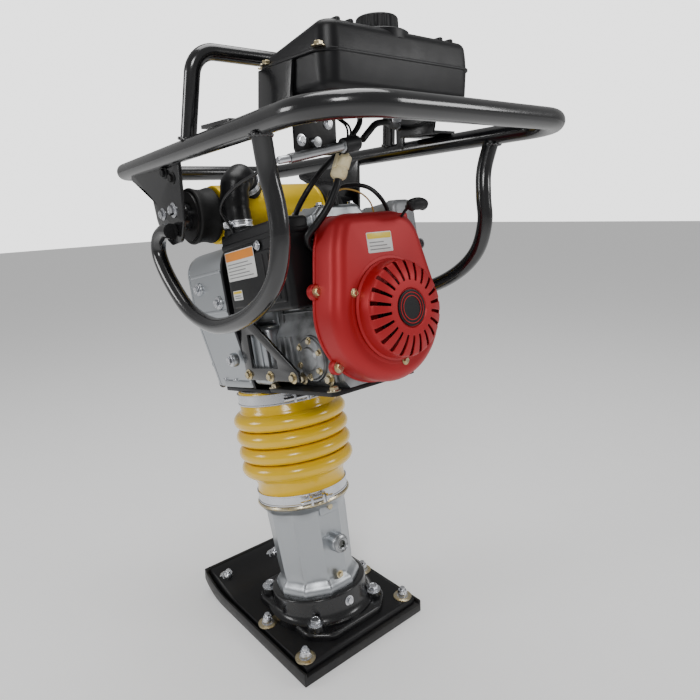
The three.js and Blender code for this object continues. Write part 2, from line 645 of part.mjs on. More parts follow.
function shroudShape(inset) {
  const shape = new THREE.Shape();
  const r = SHROUD_R - inset;
  shape.moveTo(-72 + inset, 716 - inset);
  shape.lineTo(52 - inset, 716 - inset);
  shape.lineTo(78 - inset, 696 - inset);
  shape.lineTo(r * Math.cos(0.35), 568 + r * Math.sin(0.35));
  shape.absarc(0, 568, r, 0.35, Math.PI - 0.35, true);
  shape.lineTo(-88 + inset, 676 - inset);
  return shape;
}

function shroud() {
  const rear = BLOCK_REAR + GAP;
  const taper = 12;
  const pressed = (inset, depth) => {
    const body = new THREE.ExtrudeGeometry(shroudShape(inset + taper), {
      depth: depth - taper, bevelThickness: taper, bevelSize: taper, bevelSegments: 1, curveSegments: 6,
    });
    return solid(body.applyMatrix4(AXES.yz)).translate([rear, 0, 0]);
  };
  const keep = block(rear, 500, -200, 200, 300, 800);
  const outer = pressed(0, SHROUD_DEPTH).intersect(keep);
  const inner = pressed(SHROUD_WALL, SHROUD_DEPTH - SHROUD_WALL);
  const mouth = bar("x", RECOIL_R - 14, rear, SHROUD_BACK + 5, 0, SHROUD_Z);
  const ears = SHROUD_EARS.map(([y, z]) => bar("x", 11, rear, rear + 9, y, z, 16));
  const ropeGuide = block(rear + 16, rear + 50, 22, 66, 690, 712);
  const pressing = cut(join(outer, ...ears, ropeGuide), inner, mouth);
  add(leaned, "fan_shroud", pressing, RED_COAT);

  const base = SHROUD_BACK + GAP;
  const face = base + RECOIL_DEPTH;
  const lid = turned([[RECOIL_R - 5, base], [RECOIL_R + 3, base], [RECOIL_R + 3, base + 4],
    [RECOIL_R, base + 5], [RECOIL_R - 2, base + 22], [RECOIL_R - 9, base + 33], [RECOIL_R - 16, face],
    [0, face], [0, face - 4], [RECOIL_R - 18, face - 4], [RECOIL_R - 6, base + 20],
    [RECOIL_R - 5, base]], 28, "x")
    .translate([0, 0, SHROUD_Z]);
  const post = bar("x", 6, base + 8, face - 2, 0, SHROUD_Z, 16);
  let recoil = join(lid, post);
  const slot = block(face - 6, face + 2, -2, 2, 34, RECOIL_R - 19);
  for (let i = 0; i < RECOIL_SLOTS; i++)
    recoil = recoil.subtract(moved(slot.rotate([(360 * (i + 0.5)) / RECOIL_SLOTS, 0, 0]), 0, 0, SHROUD_Z));
  add(leaned, "recoil_cover", recoil, RED_COAT);
  const pulley = turned([[6 + RUNNING, base + 10], [44, base + 10], [44, base + 13], [38, base + 16],
    [44, base + 19], [44, base + 22], [6 + RUNNING, base + 22], [6 + RUNNING, base + 10]], ROUND, "x");
  add(leaned, "starter_pulley", pulley.translate([0, 0, SHROUD_Z]), BLACK_PLASTIC);
}

function rotating() {
  const rear = BLOCK_REAR + GAP;
  const wheel = turned([[CRANK_R + GAP, rear + 6], [FLYWHEEL_R, rear + 6], [FLYWHEEL_R, rear + 22],
    [FLYWHEEL_R - 14, rear + 22], [FLYWHEEL_R - 20, rear + 14], [CRANK_R + GAP, rear + 14],
    [CRANK_R + GAP, rear + 6]], ROUND, "x").translate([0, 0, ENGINE_Z]);
  const vane = block(rear + 12, rear + 34, -1.5, 1.5, 40, 64);
  let fan = wheel;
  for (let i = 0; i < FAN_VANES; i++)
    fan = fan.add(vane.rotate([(360 * i) / FAN_VANES, 0, 0]).translate([0, 0, ENGINE_Z]));
  add(leaned, "flywheel", fan, ALLOY);
}

function engineDress() {
  const muffler = rounded(186, BLOCK_REAR - 1, BLOCK_HALF + 14, BLOCK_HALF + 66, 644, 742, 16);
  const port = bar("y", 13, CYLINDER_HALF + GAP, BLOCK_HALF + 20, 240, 670, 24);
  const tail = bar("x", 9, BLOCK_REAR - 2, BLOCK_REAR + 14, BLOCK_HALF + 50, 664, 20);
  add(leaned, "muffler", join(muffler, port, tail), SILVER_PAINT);
  const body = block(168, 204, AIRBOX_RIGHT + GAP, -CYLINDER_HALF - GAP, 612, 672);
  const room = block(150, 220, AIRBOX_RIGHT + GAP, -CYLINDER_HALF - GAP, 580, 620);
  const bowl = bar("z", 17, 588, 613, 186, -66, 24).intersect(room);
  add(leaned, "carburettor", join(body, bowl), ALLOY);
  const grip = bar("y", 9, 30, 62, SHROUD_BACK + 32, 716, 20);
  const hub = bar("x", 6, SHROUD_BACK + 14, SHROUD_BACK + 32, 46, 716, 16);
  add(leaned, "recoil_grip", join(grip, hub), BLACK_PLASTIC);
  const lead = smooth([at(236, 0, 748), at(236, 2, 762), at(252, 20, 772), at(276, 42, 764), at(290, 56, 742),
    at(286, 70, 718), at(270, 70, 700)], 14);
  add(leaned, "plug_lead", tube(lead, 3.5, 4), RUBBER);
}

// ---------------------------------------------------------------- intake and cross tube

const ELBOW_PATH = [at(104, -102, AIRBOX_TOP + GAP), at(104, -102, 750), at(104, -101, 782),
  at(104, -95, 808), at(98, -80, 820), at(88, -66, 816), at(80, -56, 807)];

function intake() {
  const box = rounded(AIRBOX_FRONT, AIRBOX_REAR, AIRBOX_LEFT, AIRBOX_RIGHT, AIRBOX_LOW, AIRBOX_TOP, 10);
  const wall = 4;
  const cavity = rounded(AIRBOX_FRONT + wall, AIRBOX_REAR - wall, AIRBOX_LEFT + wall, AIRBOX_RIGHT - wall,
    AIRBOX_LOW + wall, AIRBOX_TOP - wall, 6);
  const inlet = bar("z", ELBOW_R - 6, 700, 740, ELBOW_PATH[0].x, ELBOW_PATH[0].y, 24);
  add(leaned, "air_cleaner", cut(box, cavity, inlet), BLACK_PLASTIC);

  const shell = bar("y", TUBE_R, TUBE_LEFT, TUBE_RIGHT, TUBE_X, TUBE_Z);
  const inside = bar("y", TUBE_R - 4, TUBE_LEFT + 5, TUBE_RIGHT - 5, TUBE_X, TUBE_Z);
  const hose = tube(smooth(ELBOW_PATH, 8), ELBOW_R, 14);
  const hoseBore = tube(smooth([ELBOW_PATH[0].clone().add(at(0, 0, -3)), ...ELBOW_PATH.slice(1),
    at(66, -44, 790)], 9), ELBOW_R - 6, 10);
  const around = bar("y", TUBE_R + GAP, -200, 200, TUBE_X, TUBE_Z);
  add(leaned, "cross_tube", cut(shell, inside, hoseBore), YELLOW_COAT);
  add(leaned, "intake_elbow", cut(hose, hoseBore, around), RUBBER);
  const dome = turned([[0, 0], [20, 0], [20, 16], [15, 25], [6, 29], [0, 29]], 28);
  const seatedDome = cut(dome.translate([TUBE_X - 2, -40, TUBE_Z + TUBE_R - 12]), around);
  add(leaned, "breather_cap", seatedDome, BLACK_PLASTIC);
  const drum = (from, to) => {
    const rubber = bar("y", DAMPER_R, from + 4, to - 4, TUBE_X, TUBE_Z);
    const washers = bar("y", DAMPER_R - 10, from, to, TUBE_X, TUBE_Z, 16);
    return join(rubber, washers);
  };
  add(leaned, "damper_left", drum(TUBE_LEFT - GAP - DAMPER_LENGTH, TUBE_LEFT - GAP), RUBBER);
  add(leaned, "damper_right", drum(TUBE_RIGHT + GAP, TUBE_RIGHT + GAP + DAMPER_LENGTH), RUBBER);
}

// ---------------------------------------------------------------- handle

// Centre of the loop's side tube at a given x; side is -1 for left and 1 for right.
function sidePoint(x, side) {
  const share = (REAR_X - x) / (REAR_X - FRONT_X);
  return at(x, side * (REAR_HALF + (FRONT_HALF - REAR_HALF) * share), REAR_Z + (FRONT_Z - REAR_Z) * share);
}

const REAR_SPLIT = REAR_X - REAR_BEND - 20;
const FRONT_SPLIT = FRONT_X + FRONT_BEND + 12;

function sideTube(side, grow = 0, reach = 0) {
  const rear = sidePoint(REAR_SPLIT - GAP + reach, side);
  const front = sidePoint(FRONT_SPLIT + GAP - reach, side);
  return tube([rear, front], LOOP_R + grow);
}

function handleLoop() {
  const rear = bent([sidePoint(REAR_SPLIT, -1), at(REAR_X, -REAR_HALF, REAR_Z), at(REAR_X, REAR_HALF, REAR_Z),
    sidePoint(REAR_SPLIT, 1)], [REAR_BEND, REAR_BEND]);
  const front = bent([sidePoint(FRONT_SPLIT, -1), at(FRONT_X, -FRONT_HALF, FRONT_Z),
    at(FRONT_X, FRONT_HALF, FRONT_Z), sidePoint(FRONT_SPLIT, 1)], [FRONT_BEND, FRONT_BEND]);
  add(rammer, "handle_rear", tube(rear, LOOP_R), BLACK_COAT);
  add(rammer, "handle_front", tube(front, LOOP_R), BLACK_COAT);
  add(rammer, "handle_left", sideTube(-1), BLACK_COAT);
  const foot = sidePoint(POST_X, 1);
  const inner = foot.y - LOOP_R + 1;
  const stem = block(POST_X - 10, POST_X + 10, inner, inner + 5, foot.z, foot.z + POST_HEIGHT);
  const post = join(stem, bar("y", 9, inner - 5, inner + 9, POST_X, foot.z + POST_HEIGHT, 20));
  add(rammer, "handle_right", join(sideTube(1), post), BLACK_COAT);
}

function bracketAndGuard() {
  const axle = legPoint(TUBE_X, 0, TUBE_Z);
  const plateOut = [[-221, 905], [-221, 872], [-166, 853], [-137, 838], [-127, 800], [-113, 778], [-76, 760],
    [-40, 767], [-24, 800], [-20, 905]];
  for (const side of [-1, 1]) {
    const word = side < 0 ? "left" : "right";
    const face = 184;
    const drumEnd = side < 0 ? -TUBE_LEFT : TUBE_RIGHT;
    const reach = drumEnd + 2 * GAP + DAMPER_LENGTH;
    const plate = prism("xz", plateOut, face, face + BRACKET_THICK);
    const spacer = bar("y", 22, reach, face + 1, axle.x, axle.z, 20);
    const mine = side < 0 ? mirrored(join(plate, spacer)) : join(plate, spacer);
    add(rammer, `bracket_${word}`, cut(mine, sideTube(side, GAP, 20), aboveTube(side)), BLACK_COAT);

    const out = side * GUARD_Y;
    const top = sidePoint(271, side);
    const route = smooth([at(271, top.y, top.z), at(264, side * (GUARD_Y + 6), 860), at(268, out, 818),
      at(271, out, 775), at(255, out, 728), at(214, out, 690), at(150, out, 660), at(72, out, 644),
      at(-6, out, 658), at(-68, out, 700), at(-102, out, 742), at(-98, out, 770), at(-72, out, 784),
      at(-46, out, 785)], 20);
    add(rammer, `guard_${word}`, cut(tube(route, GUARD_R, 10), sideTube(side, GAP, 60)), BLACK_COAT);
  }
}

// Everything above the middle of a side tube, which the bracket plates stay under.
function aboveTube(side) {
  const front = sidePoint(-260, side);
  const rear = sidePoint(60, side);
  const y = side * GUARD_Y;
  return prism("xz", [[front.x, front.z], [rear.x, rear.z], [rear.x, 1000], [front.x, 1000]], y - 40, y + 40);
}

function liftingBar() {
  const foot = (side) => sidePoint(47, side);
  const route = bent([foot(-1), at(69, -BAR_HALF, BAR_TOP), at(69, BAR_HALF, BAR_TOP), foot(1)], [34, 34]);
  const clearOf = join(sideTube(-1, GAP, 20), sideTube(1, GAP, 20));
  const bare = tube(route, BAR_R);
  const above = bare.subtract(clearOf).decompose().sort((a, b) => b.volume() - a.volume())[0];
  add(rammer, "lifting_bar", above, BLACK_COAT);
}

// ---------------------------------------------------------------- tank and controls

// Side view of the tank, with its sloped front shoulder.
const tankOutline = (inset) => [
  [TANK_REAR - inset, TANK_LOW + inset], [TANK_REAR - 8 - inset, TANK_TOP - inset],
  [208 + inset / 2, TANK_TOP - 3 - inset], [139 + inset / 2, TANK_SEAM + 11 - inset],
  [TANK_FRONT + inset, TANK_SEAM - inset / 2], [TANK_FRONT + 4 + inset, TANK_LOW + inset]];

function tank() {
  const shell = prism("xz", tankOutline(0), TANK_LEFT, TANK_RIGHT);
  const seam = rounded(TANK_FRONT - 5, TANK_REAR - 3, TANK_LEFT - 5, TANK_RIGHT + 5,
    TANK_SEAM - 2, TANK_SEAM + 2, 8);
  const neck = bar("z", FILLER_R + 5, TANK_TOP - 6, TANK_TOP + 7, FILLER_X, FILLER_Y);
  const cavity = prism("xz", tankOutline(TANK_WALL), TANK_LEFT + TANK_WALL, TANK_RIGHT - TANK_WALL);
  const filler = bar("z", FILLER_R, TANK_TOP - 12, TANK_TOP + 10, FILLER_X, FILLER_Y);
  add(rammer, "fuel_tank", cut(join(shell, seam, neck), cavity, filler), BLACK_PLASTIC);
  const low = TANK_TOP + GAP;
  const cap = turned([[FILLER_R + 5 + GAP, low], [CAP_R, low], [CAP_R, low + CAP_HEIGHT - 5],
    [CAP_R - 5, low + CAP_HEIGHT], [0, low + CAP_HEIGHT], [0, low + 8], [FILLER_R + 5 + GAP, low + 8],
    [FILLER_R + 5 + GAP, low]]);
  add(rammer, "tank_cap", moved(cap, FILLER_X, FILLER_Y, 0), BLACK_PLASTIC);
}

function tankBrackets() {
  const sheet = 5;
  const tubeTop = sidePoint(150, 1).z + LOOP_R + GAP;
  for (const side of [-1, 1]) {
    const wall = (side < 0 ? -TANK_LEFT : TANK_RIGHT) + GAP;
    const under = TANK_SEAM - 2 - GAP;
    const outline = [[120, tubeTop], [196, tubeTop], [214, under], [132, under]];
    const plate = prism("xz", outline, wall, wall + sheet);
    const tab = block(120, 196, wall, sidePoint(150, 1).y + 6, tubeTop, tubeTop + sheet);
    const mine = join(plate, tab);
    const clear = sideTube(side, GAP, 20);
    const word = side < 0 ? "left" : "right";
    add(rammer, `tank_bracket_${word}`, cut(side < 0 ? mirrored(mine) : mine, clear), BLACK_COAT);
  }
}

function controls() {
  const plate = rounded(-122, -50, 884, 946, 198, 203, 10);
  const upright = plate.transform([...AXES.yz.elements]);
  const shelf = block(150, 203, -122, -100, TANK_LOW - 9, TANK_LOW - GAP);
  add(rammer, "control_plate", join(upright, shelf), BLACK_COAT);
  const pivot = bar("x", 7, 203 + GAP, 214, -92, 900, 20);
  const shaft = tube([at(212, -140, 878), at(212, -15, 902)], 6.5, 16);
  const clamp = tube([at(212, -48, 895.7), at(212, -20, 901)], 9.5, 16);
  add(rammer, "throttle_lever", join(pivot, shaft, clamp), BARE_STEEL);
  const conduit = smooth([at(212, -8, 906), at(206, 10, 918), at(190, 40, 932), at(160, 90, 940),
    at(120, 140, 942), at(96, 183, 944)], 14);
  add(rammer, "control_hose", tube(conduit, 5, 6), RUBBER);
  const cable = smooth([at(214, -147, 877), at(196, -153, 874), at(150, -157, 862), at(100, -158, 849),
    at(56, -156, 832), at(30, -150, 815), at(20, -138, 800), at(17, -128, 787), at(16, -123, 779.5)], 18);
  add(rammer, "throttle_cable", tube(cable, 2.4, 4), RUBBER);
  const plug = rounded(-13, 13, -10, 10, 0, 34, 4).rotate([-24, 0, 0]).translate([196, -46, 852]);
  add(rammer, "connector", plug, IVORY);
  const sleeve = smooth([legPoint(314, -46, 768), legPoint(314, -56, 752), legPoint(310, -72, 728),
    legPoint(300, -88, 708), legPoint(287, -97, 694), legPoint(277.5, -90, 681), legPoint(275.5, -76, 671),
    legPoint(268, -66.5, 663), legPoint(256, -66, 658)], 20);
  add(rammer, "engine_harness", cut(tube(sleeve, 5.5, 6), plug), RUBBER);
  const hose = smooth([at(150, 40, TANK_LOW - 2 * GAP), at(150, 40, 935), at(141, 10, 900), at(128, -30, 860),
    at(112, -58, 815), at(98, -66, 775), at(90, -66.2, 737)], 14);
  add(rammer, "fuel_hose", tube(hose, 4.5, 6), RUBBER);
}

shoe();
footCasting();
leg();
springs();
ram();
guide();
bellows();
gearCase();
clutchHousing();
drive();
engine();
shroud();
rotating();
engineDress();
intake();
handleLoop();
bracketAndGuard();
liftingBar();
tank();
tankBrackets();
controls();

export default rammer;
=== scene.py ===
"""Jumping jack rammer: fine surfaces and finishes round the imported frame.

Sizes are in millimetres until a surface becomes an object. Pieces of the leaning half are drawn
in the leg's frame: u rearwards, v to the machine's right, w up along the leg axis.
"""
from dataclasses import dataclass
from enum import Enum
import logging
import math

import bmesh
import bpy
import numpy as np
from mathutils import Matrix, Vector


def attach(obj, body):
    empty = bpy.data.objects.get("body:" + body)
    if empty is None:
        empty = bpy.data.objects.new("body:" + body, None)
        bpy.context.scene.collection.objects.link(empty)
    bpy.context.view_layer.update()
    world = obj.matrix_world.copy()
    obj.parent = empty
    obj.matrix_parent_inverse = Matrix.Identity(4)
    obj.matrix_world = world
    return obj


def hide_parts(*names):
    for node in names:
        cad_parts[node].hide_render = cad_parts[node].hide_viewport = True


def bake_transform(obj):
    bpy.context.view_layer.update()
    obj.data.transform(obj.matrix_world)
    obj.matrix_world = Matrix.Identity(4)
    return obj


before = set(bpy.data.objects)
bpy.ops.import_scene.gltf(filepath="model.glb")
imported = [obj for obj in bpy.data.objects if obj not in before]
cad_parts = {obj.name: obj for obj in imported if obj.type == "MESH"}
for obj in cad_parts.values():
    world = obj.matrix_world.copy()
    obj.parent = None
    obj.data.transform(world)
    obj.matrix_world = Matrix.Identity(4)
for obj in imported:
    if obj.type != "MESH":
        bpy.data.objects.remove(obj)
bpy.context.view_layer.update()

LOG = logging.getLogger("rammer")

MM = 0.001  # metres in a millimetre
LEAN = math.radians(10.1)  # how far the leg leans forward
LEG_FOOT = np.array([24.0, 0.0, 40.0])  # origin of the leg's frame
LEG_FRAME = np.array([[math.cos(LEAN), 0.0, math.sin(LEAN)], [0.0, 1.0, 0.0],
                      [-math.sin(LEAN), 0.0, math.cos(LEAN)]])  # rows are u, v and w
ENGINE_W = 572.0  # crankshaft, up the leg
SHROUD_W = 568.0  # middle of the fan shroud, up the leg
CROSS_U, CROSS_W = 46.0, 770.0  # axis of the cross tube

UP, REARWARD, FORWARD = (0, 0, 1), (1, 0, 0), (-1, 0, 0)
RIGHTWARD, LEFTWARD = (0, 1, 0), (0, -1, 0)
CRISP = 25.0  # degrees past which a fastener's edge stays sharp


# ---------------------------------------------------------------- finishes


class Grain(Enum):
    """The small relief of a surface: (scale per metre, detail, bump distance in metres)."""

    SMOOTH = (60.0, 2.0, 0.00002)
    PEEL = (260.0, 2.0, 0.00012)
    CAST = (900.0, 6.0, 0.00035)
    MOULDED = (1500.0, 3.0, 0.00018)
    BRUSHED = (500.0, 8.0, 0.00006)
    RUBBER = (700.0, 5.0, 0.00015)


COAT_ROUGHNESS = 0.12
PATCH_EDGES = (0.3, 0.62)  # where the noise turns from the dark colour to the light one
SMOOTHER, ROUGHER, LEAST_ROUGH = 0.09, 0.12, 0.03  # how far the roughness wanders
RELIEF = 0.8
SOOT = (0.006, 0.006, 0.007)
JET = (0.005, 0.005, 0.006)


@dataclass(frozen=True)
class Finish:
    """One surface finish and the recipe for its material.

    Args:
        name: Material name.
        slot: The record's material slot it stands for; not used.
        colour: Linear base colour.
        roughness: Mean roughness.
        metallic: Share of bare metal.
        coat: Weight of the clear gloss on top.
        grain: Small relief.
        mottle: How far the colour wanders, as a share.
        blotch: Scale of the colour's patches, per metre.
        tint: Second colour that the patches lead to.
        shine: Strength of the bare surface's reflection.
    """

    name: str
    slot: str
    colour: tuple[float, float, float]
    roughness: float
    metallic: float = 0.0
    coat: float = 0.0
    grain: Grain = Grain.PEEL
    mottle: float = 0.12
    blotch: float = 18.0
    tint: tuple[float, float, float] | None = None
    shine: float = 0.5

    def material(self) -> bpy.types.Material:
        """Builds the material once and gives the same one afterwards.

        Returns:
            The node material for this finish.
        """
        found = bpy.data.materials.get(self.name)
        if found:
            return found
        made = bpy.data.materials.new(self.name)
        made.use_nodes = True
        nodes, links = made.node_tree.nodes, made.node_tree.links
        shader = nodes["Principled BSDF"]
        shader.inputs["Metallic"].default_value = self.metallic
        shader.inputs["Coat Weight"].default_value = self.coat
        shader.inputs["Specular IOR Level"].default_value = self.shine
        shader.inputs["Coat Roughness"].default_value = COAT_ROUGHNESS
        place = nodes.new("ShaderNodeTexCoord")

        def noise(scale: float, detail: float) -> bpy.types.NodeSocket:
            """Adds a noise pattern in the object's own coordinates.

            Args:
                scale: Patches per metre.
                detail: Layers of finer noise.

            Returns:
                Its output, from 0 to 1.
            """
            pattern = nodes.new("ShaderNodeTexNoise")
            pattern.inputs["Scale"].default_value = scale
            pattern.inputs["Detail"].default_value = detail
            links.new(place.outputs["Object"], pattern.inputs["Vector"])
            return pattern.outputs["Fac"]

        patches = noise(self.blotch, 5.0)
        ramp = nodes.new("ShaderNodeValToRGB")
        base = np.array(self.colour)
        dark = base * (1 - self.mottle) if self.tint is None else np.array(self.tint)
        light = base * (1 + self.mottle * 0.5)
        for stop, position, colour in zip(ramp.color_ramp.elements, PATCH_EDGES, (dark, light)):
            stop.position = position
            stop.color = (*colour, 1.0)
        links.new(patches, ramp.inputs["Fac"])
        links.new(ramp.outputs["Color"], shader.inputs["Base Color"])

        gloss = nodes.new("ShaderNodeMapRange")
        gloss.inputs["To Min"].default_value = max(self.roughness - SMOOTHER, LEAST_ROUGH)
        gloss.inputs["To Max"].default_value = self.roughness + ROUGHER
        links.new(noise(self.blotch * 2.7, 6.0), gloss.inputs["Value"])
        links.new(gloss.outputs["Result"], shader.inputs["Roughness"])

        scale, detail, depth = self.grain.value
        bump = nodes.new("ShaderNodeBump")
        bump.inputs["Distance"].default_value = depth
        bump.inputs["Strength"].default_value = RELIEF
        links.new(noise(scale, detail), bump.inputs["Height"])
        links.new(bump.outputs["Normal"], shader.inputs["Normal"])
        return made


GLOSS_BLACK = Finish("gloss_black_coat", "black_coat", JET, 0.2, coat=0.7, mottle=0.25)
CAST_BLACK = Finish("black_casting", "black_iron", SOOT, 0.26, coat=0.3)
ALLOY_BLACK = Finish("black_alloy", "black_alloy", (0.010, 0.010, 0.011), 0.36, coat=0.15, grain=Grain.CAST)
PLATE_BLACK = Finish("black_plate", "black_coat", SOOT, 0.36, shine=0.35, tint=(0.016, 0.015, 0.014),
                     blotch=30.0)
BLOCK_BLACK = Finish("black_block", "black_plastic", SOOT, 0.4, shine=0.35)
TANK_BLACK = Finish("tank_plastic", "black_plastic", JET, 0.34, grain=Grain.MOULDED, shine=0.34)
BOX_BLACK = Finish("box_plastic", "black_plastic", SOOT, 0.44, grain=Grain.MOULDED, shine=0.34)
RUBBER = Finish("black_rubber", "rubber", (0.006, 0.006, 0.006), 0.55, grain=Grain.RUBBER, shine=0.3)
HOSE = Finish("hose_rubber", "rubber", JET, 0.34, grain=Grain.RUBBER, shine=0.4)
SILVER = Finish("silver_paint", "silver_paint", (0.47, 0.49, 0.52), 0.36, metallic=0.35, coat=0.15,
                grain=Grain.CAST, mottle=0.08)
MACHINED = Finish("machined_steel", "bare_steel", (0.42, 0.43, 0.44), 0.28, metallic=1.0,
                  grain=Grain.BRUSHED)
ZINC = Finish("bright_zinc", "zinc", (0.66, 0.67, 0.70), 0.24, metallic=1.0, grain=Grain.BRUSHED)
YELLOW_ZINC = Finish("yellow_zinc", "zinc", (0.62, 0.52, 0.30), 0.28, metallic=1.0, grain=Grain.BRUSHED,
                     tint=(0.50, 0.46, 0.38), blotch=90.0)
YELLOW_RUBBER = Finish("yellow_bellows", "yellow_rubber", (0.82, 0.51, 0.0), 0.2, coat=0.45, mottle=0.06)
# Darker amber for the bellows' folds: painted shade in the grooves.
PAINTED_FOLD_SHADE = Finish("bellows_painted_fold_shade", "yellow_rubber", (0.62, 0.34, 0.004), 0.4,
                      grain=Grain.RUBBER, tint=(0.38, 0.20, 0.01), blotch=40.0)
YELLOW_COAT = Finish("yellow_coat", "yellow_coat", (0.82, 0.56, 0.0), 0.2, coat=0.45, mottle=0.05)
RED_COAT = Finish("red_coat", "red_coat", (0.125, 0.0008, 0.005), 0.16, coat=1.0, mottle=0.08)
ALLOY = Finish("raw_alloy", "alloy", (0.33, 0.34, 0.35), 0.4, metallic=0.7, grain=Grain.CAST,
               tint=(0.09, 0.09, 0.09), blotch=26.0)
EXHAUST = Finish("exhaust_steel", "silver_paint", (0.30, 0.31, 0.32), 0.42, metallic=0.6, grain=Grain.CAST)
IVORY = Finish("ivory_nylon", "ivory", (0.72, 0.62, 0.38), 0.42, grain=Grain.MOULDED)
WHITE_LABEL = Finish("white_label", "ivory", (0.72, 0.72, 0.70), 0.35, grain=Grain.SMOOTH)
ORANGE_LABEL = Finish("orange_label", "ivory", (0.80, 0.26, 0.02), 0.35, grain=Grain.SMOOTH)
YELLOW_LABEL = Finish("yellow_label", "ivory", (0.80, 0.58, 0.03), 0.35, grain=Grain.SMOOTH)
GREY_INK = Finish("grey_ink", "ivory", (0.22, 0.22, 0.22), 0.4, grain=Grain.SMOOTH)
TAN_SLEEVE = Finish("tan_wire", "yellow_coat", (0.50, 0.30, 0.06), 0.45, grain=Grain.RUBBER)
FLOOR = Finish("pale_floor", "ivory", (0.86, 0.86, 0.86), 0.7, grain=Grain.SMOOTH, mottle=0.01)


def sight_glass_material() -> bpy.types.Material:
    """Glossy glass over dark oil for the level window.

    Returns:
        The node material.
    """
    made = Finish("sight_glass_clear", "glass", (0.03, 0.034, 0.024), 0.1, coat=1.0,
                  grain=Grain.SMOOTH, tint=(0.012, 0.014, 0.008), blotch=120.0).material()
    made.node_tree.nodes["Principled BSDF"].inputs["IOR"].default_value = 1.5
    return made


# ---------------------------------------------------------------- surfaces


@dataclass
class Skin:
    """A surface as points in millimetres and four-cornered faces."""

    points: np.ndarray
    quads: np.ndarray

    def turned(self, matrix: np.ndarray, shift: tuple | np.ndarray = (0, 0, 0)) -> "Skin":
        """The skin with its points multiplied by a matrix, whose rows are the new axes, then shifted."""
        return Skin(self.points @ np.asarray(matrix, float) + np.asarray(shift, float), self.quads)

    def moved(self, shift: tuple | np.ndarray) -> "Skin":
        """The skin shifted."""
        return Skin(self.points + np.asarray(shift, float), self.quads)

    def leaned(self) -> "Skin":
        """The skin carried from the leg's frame to the machine's frame."""
        return self.turned(LEG_FRAME, LEG_FOOT)

    def aimed(self, place: tuple, direction: tuple) -> "Skin":
        """The skin with its Z axis turned along a direction.

        Args:
            place: Where its origin goes.
            direction: Where its Z axis points.

        Returns:
            The placed skin; its X axis is the direction crossed with a vector away from it.
        """
        up = np.asarray(direction, float) / np.linalg.norm(direction)
        side = np.cross(up, [0.31, 0.72, 0.62] if abs(up[0]) > 0.9 else [1.0, 0, 0])
        side = side / np.linalg.norm(side)
        return self.turned(np.array([side, np.cross(up, side), up]), place)

    @staticmethod
    def joined(skins: list["Skin"]) -> "Skin":
        """Several skins as one.

        Args:
            skins: The skins.

        Returns:
            One skin with all their points and faces.
        """
        starts = np.cumsum([0] + [len(skin.points) for skin in skins[:-1]])
        quads = [skin.quads + start for skin, start in zip(skins, starts)]
        return Skin(np.concatenate([skin.points for skin in skins]), np.concatenate(quads))


def lattice(points: np.ndarray, ring: bool = True) -> Skin:
    """Rows of points as a skin; each row closes on itself when ring is set.

    Args:
        points: Array of rows by columns by 3.
        ring: Whether the last column joins the first.

    Returns:
        The skin, with one face between each four neighbouring points.
    """
    rows, columns = points.shape[:2]
    index = np.arange(rows * columns).reshape(rows, columns)
    if ring:
        index = np.concatenate([index, index[:, :1]], axis=1)
    corners = [index[:-1, :-1], index[:-1, 1:], index[1:, 1:], index[1:, :-1]]
    return Skin(points.reshape(-1, 3).astype(float), np.stack([c.ravel() for c in corners], axis=1))


def hexagon_share(angle: np.ndarray) -> np.ndarray:
    """Distance to a hexagon's side over distance to its corner, at each angle from a corner."""
    step = math.pi / 3
    return math.cos(step / 2) / np.cos(np.mod(angle, step) - step / 2)


def revolve(profile: list[tuple[float, ...]], sides: int = 64) -> Skin:
    """A profile turned about Z: radius r times a share that fades from circle to hexagon.

    Args:
        profile: Points (radius, height) or (radius, height, hexagon share from 0 to 1).
        sides: Columns round the axis, a multiple of 6 where there is a hexagon.

    Returns:
        The turned skin, closed where the profile starts and ends on the axis.
    """
    rows = np.array([(*row, 0.0)[:3] for row in profile], float)
    angle = np.linspace(0, 2 * math.pi, sides, endpoint=False)
    shape = 1 - rows[:, 2:3] * (1 - hexagon_share(angle)[None, :])
    radius = rows[:, 0:1] * shape
    return lattice(np.stack([radius * np.cos(angle), radius * np.sin(angle),
                             np.repeat(rows[:, 1:2], sides, axis=1)], axis=-1))


def arc(centre: tuple[float, float], radius: float, start: float, end: float,
        steps: int = 6) -> list[tuple[float, float]]:
    """Points (radius, height) along a circle arc, with angles in degrees from the outward direction."""
    angle = np.radians(np.linspace(start, end, steps + 1))
    return list(zip(centre[0] + radius * np.cos(angle), centre[1] + radius * np.sin(angle)))


def filleted(corners: list[tuple], radii: list[float] | float, closed: bool = False,
             steps: int = 8) -> np.ndarray:
    """A line through corners, each rounded to its radius by a circle arc.

    The arc of a corner touches both of its sides at radius / tan(half the corner's angle).

    Args:
        corners: Corner points in two or three dimensions.
        radii: One radius for each rounded corner, or one for all.
        closed: Whether the last corner joins the first, all of them rounded.
        steps: Arc steps at each corner.

    Returns:
        The points of the rounded line.
    """
    path = np.array(corners, float)
    count = len(path)
    rounded = range(count) if closed else range(1, count - 1)
    radii = [radii] * len(rounded) if isinstance(radii, (int, float)) else list(radii)
    parts = [] if closed else [path[:1]]
    for radius, i in zip(radii, rounded):
        back = path[i - 1] - path[i]
        ahead = path[(i + 1) % count] - path[i]
        back, ahead = back / np.linalg.norm(back), ahead / np.linalg.norm(ahead)
        half = math.acos(float(np.clip(back @ ahead, -1, 1))) / 2
        middle = (back + ahead) / np.linalg.norm(back + ahead)
        centre = path[i] + middle * radius / math.sin(half)
        across = (back - ahead) / np.linalg.norm(back - ahead)
        sweep = np.linspace(math.pi / 2 - half, half - math.pi / 2, steps + 1)[:, None]
        parts.append(centre - radius * (np.cos(sweep) * middle - np.sin(sweep) * across))
    if not closed:
        parts.append(path[-1:])
    return np.concatenate(parts)


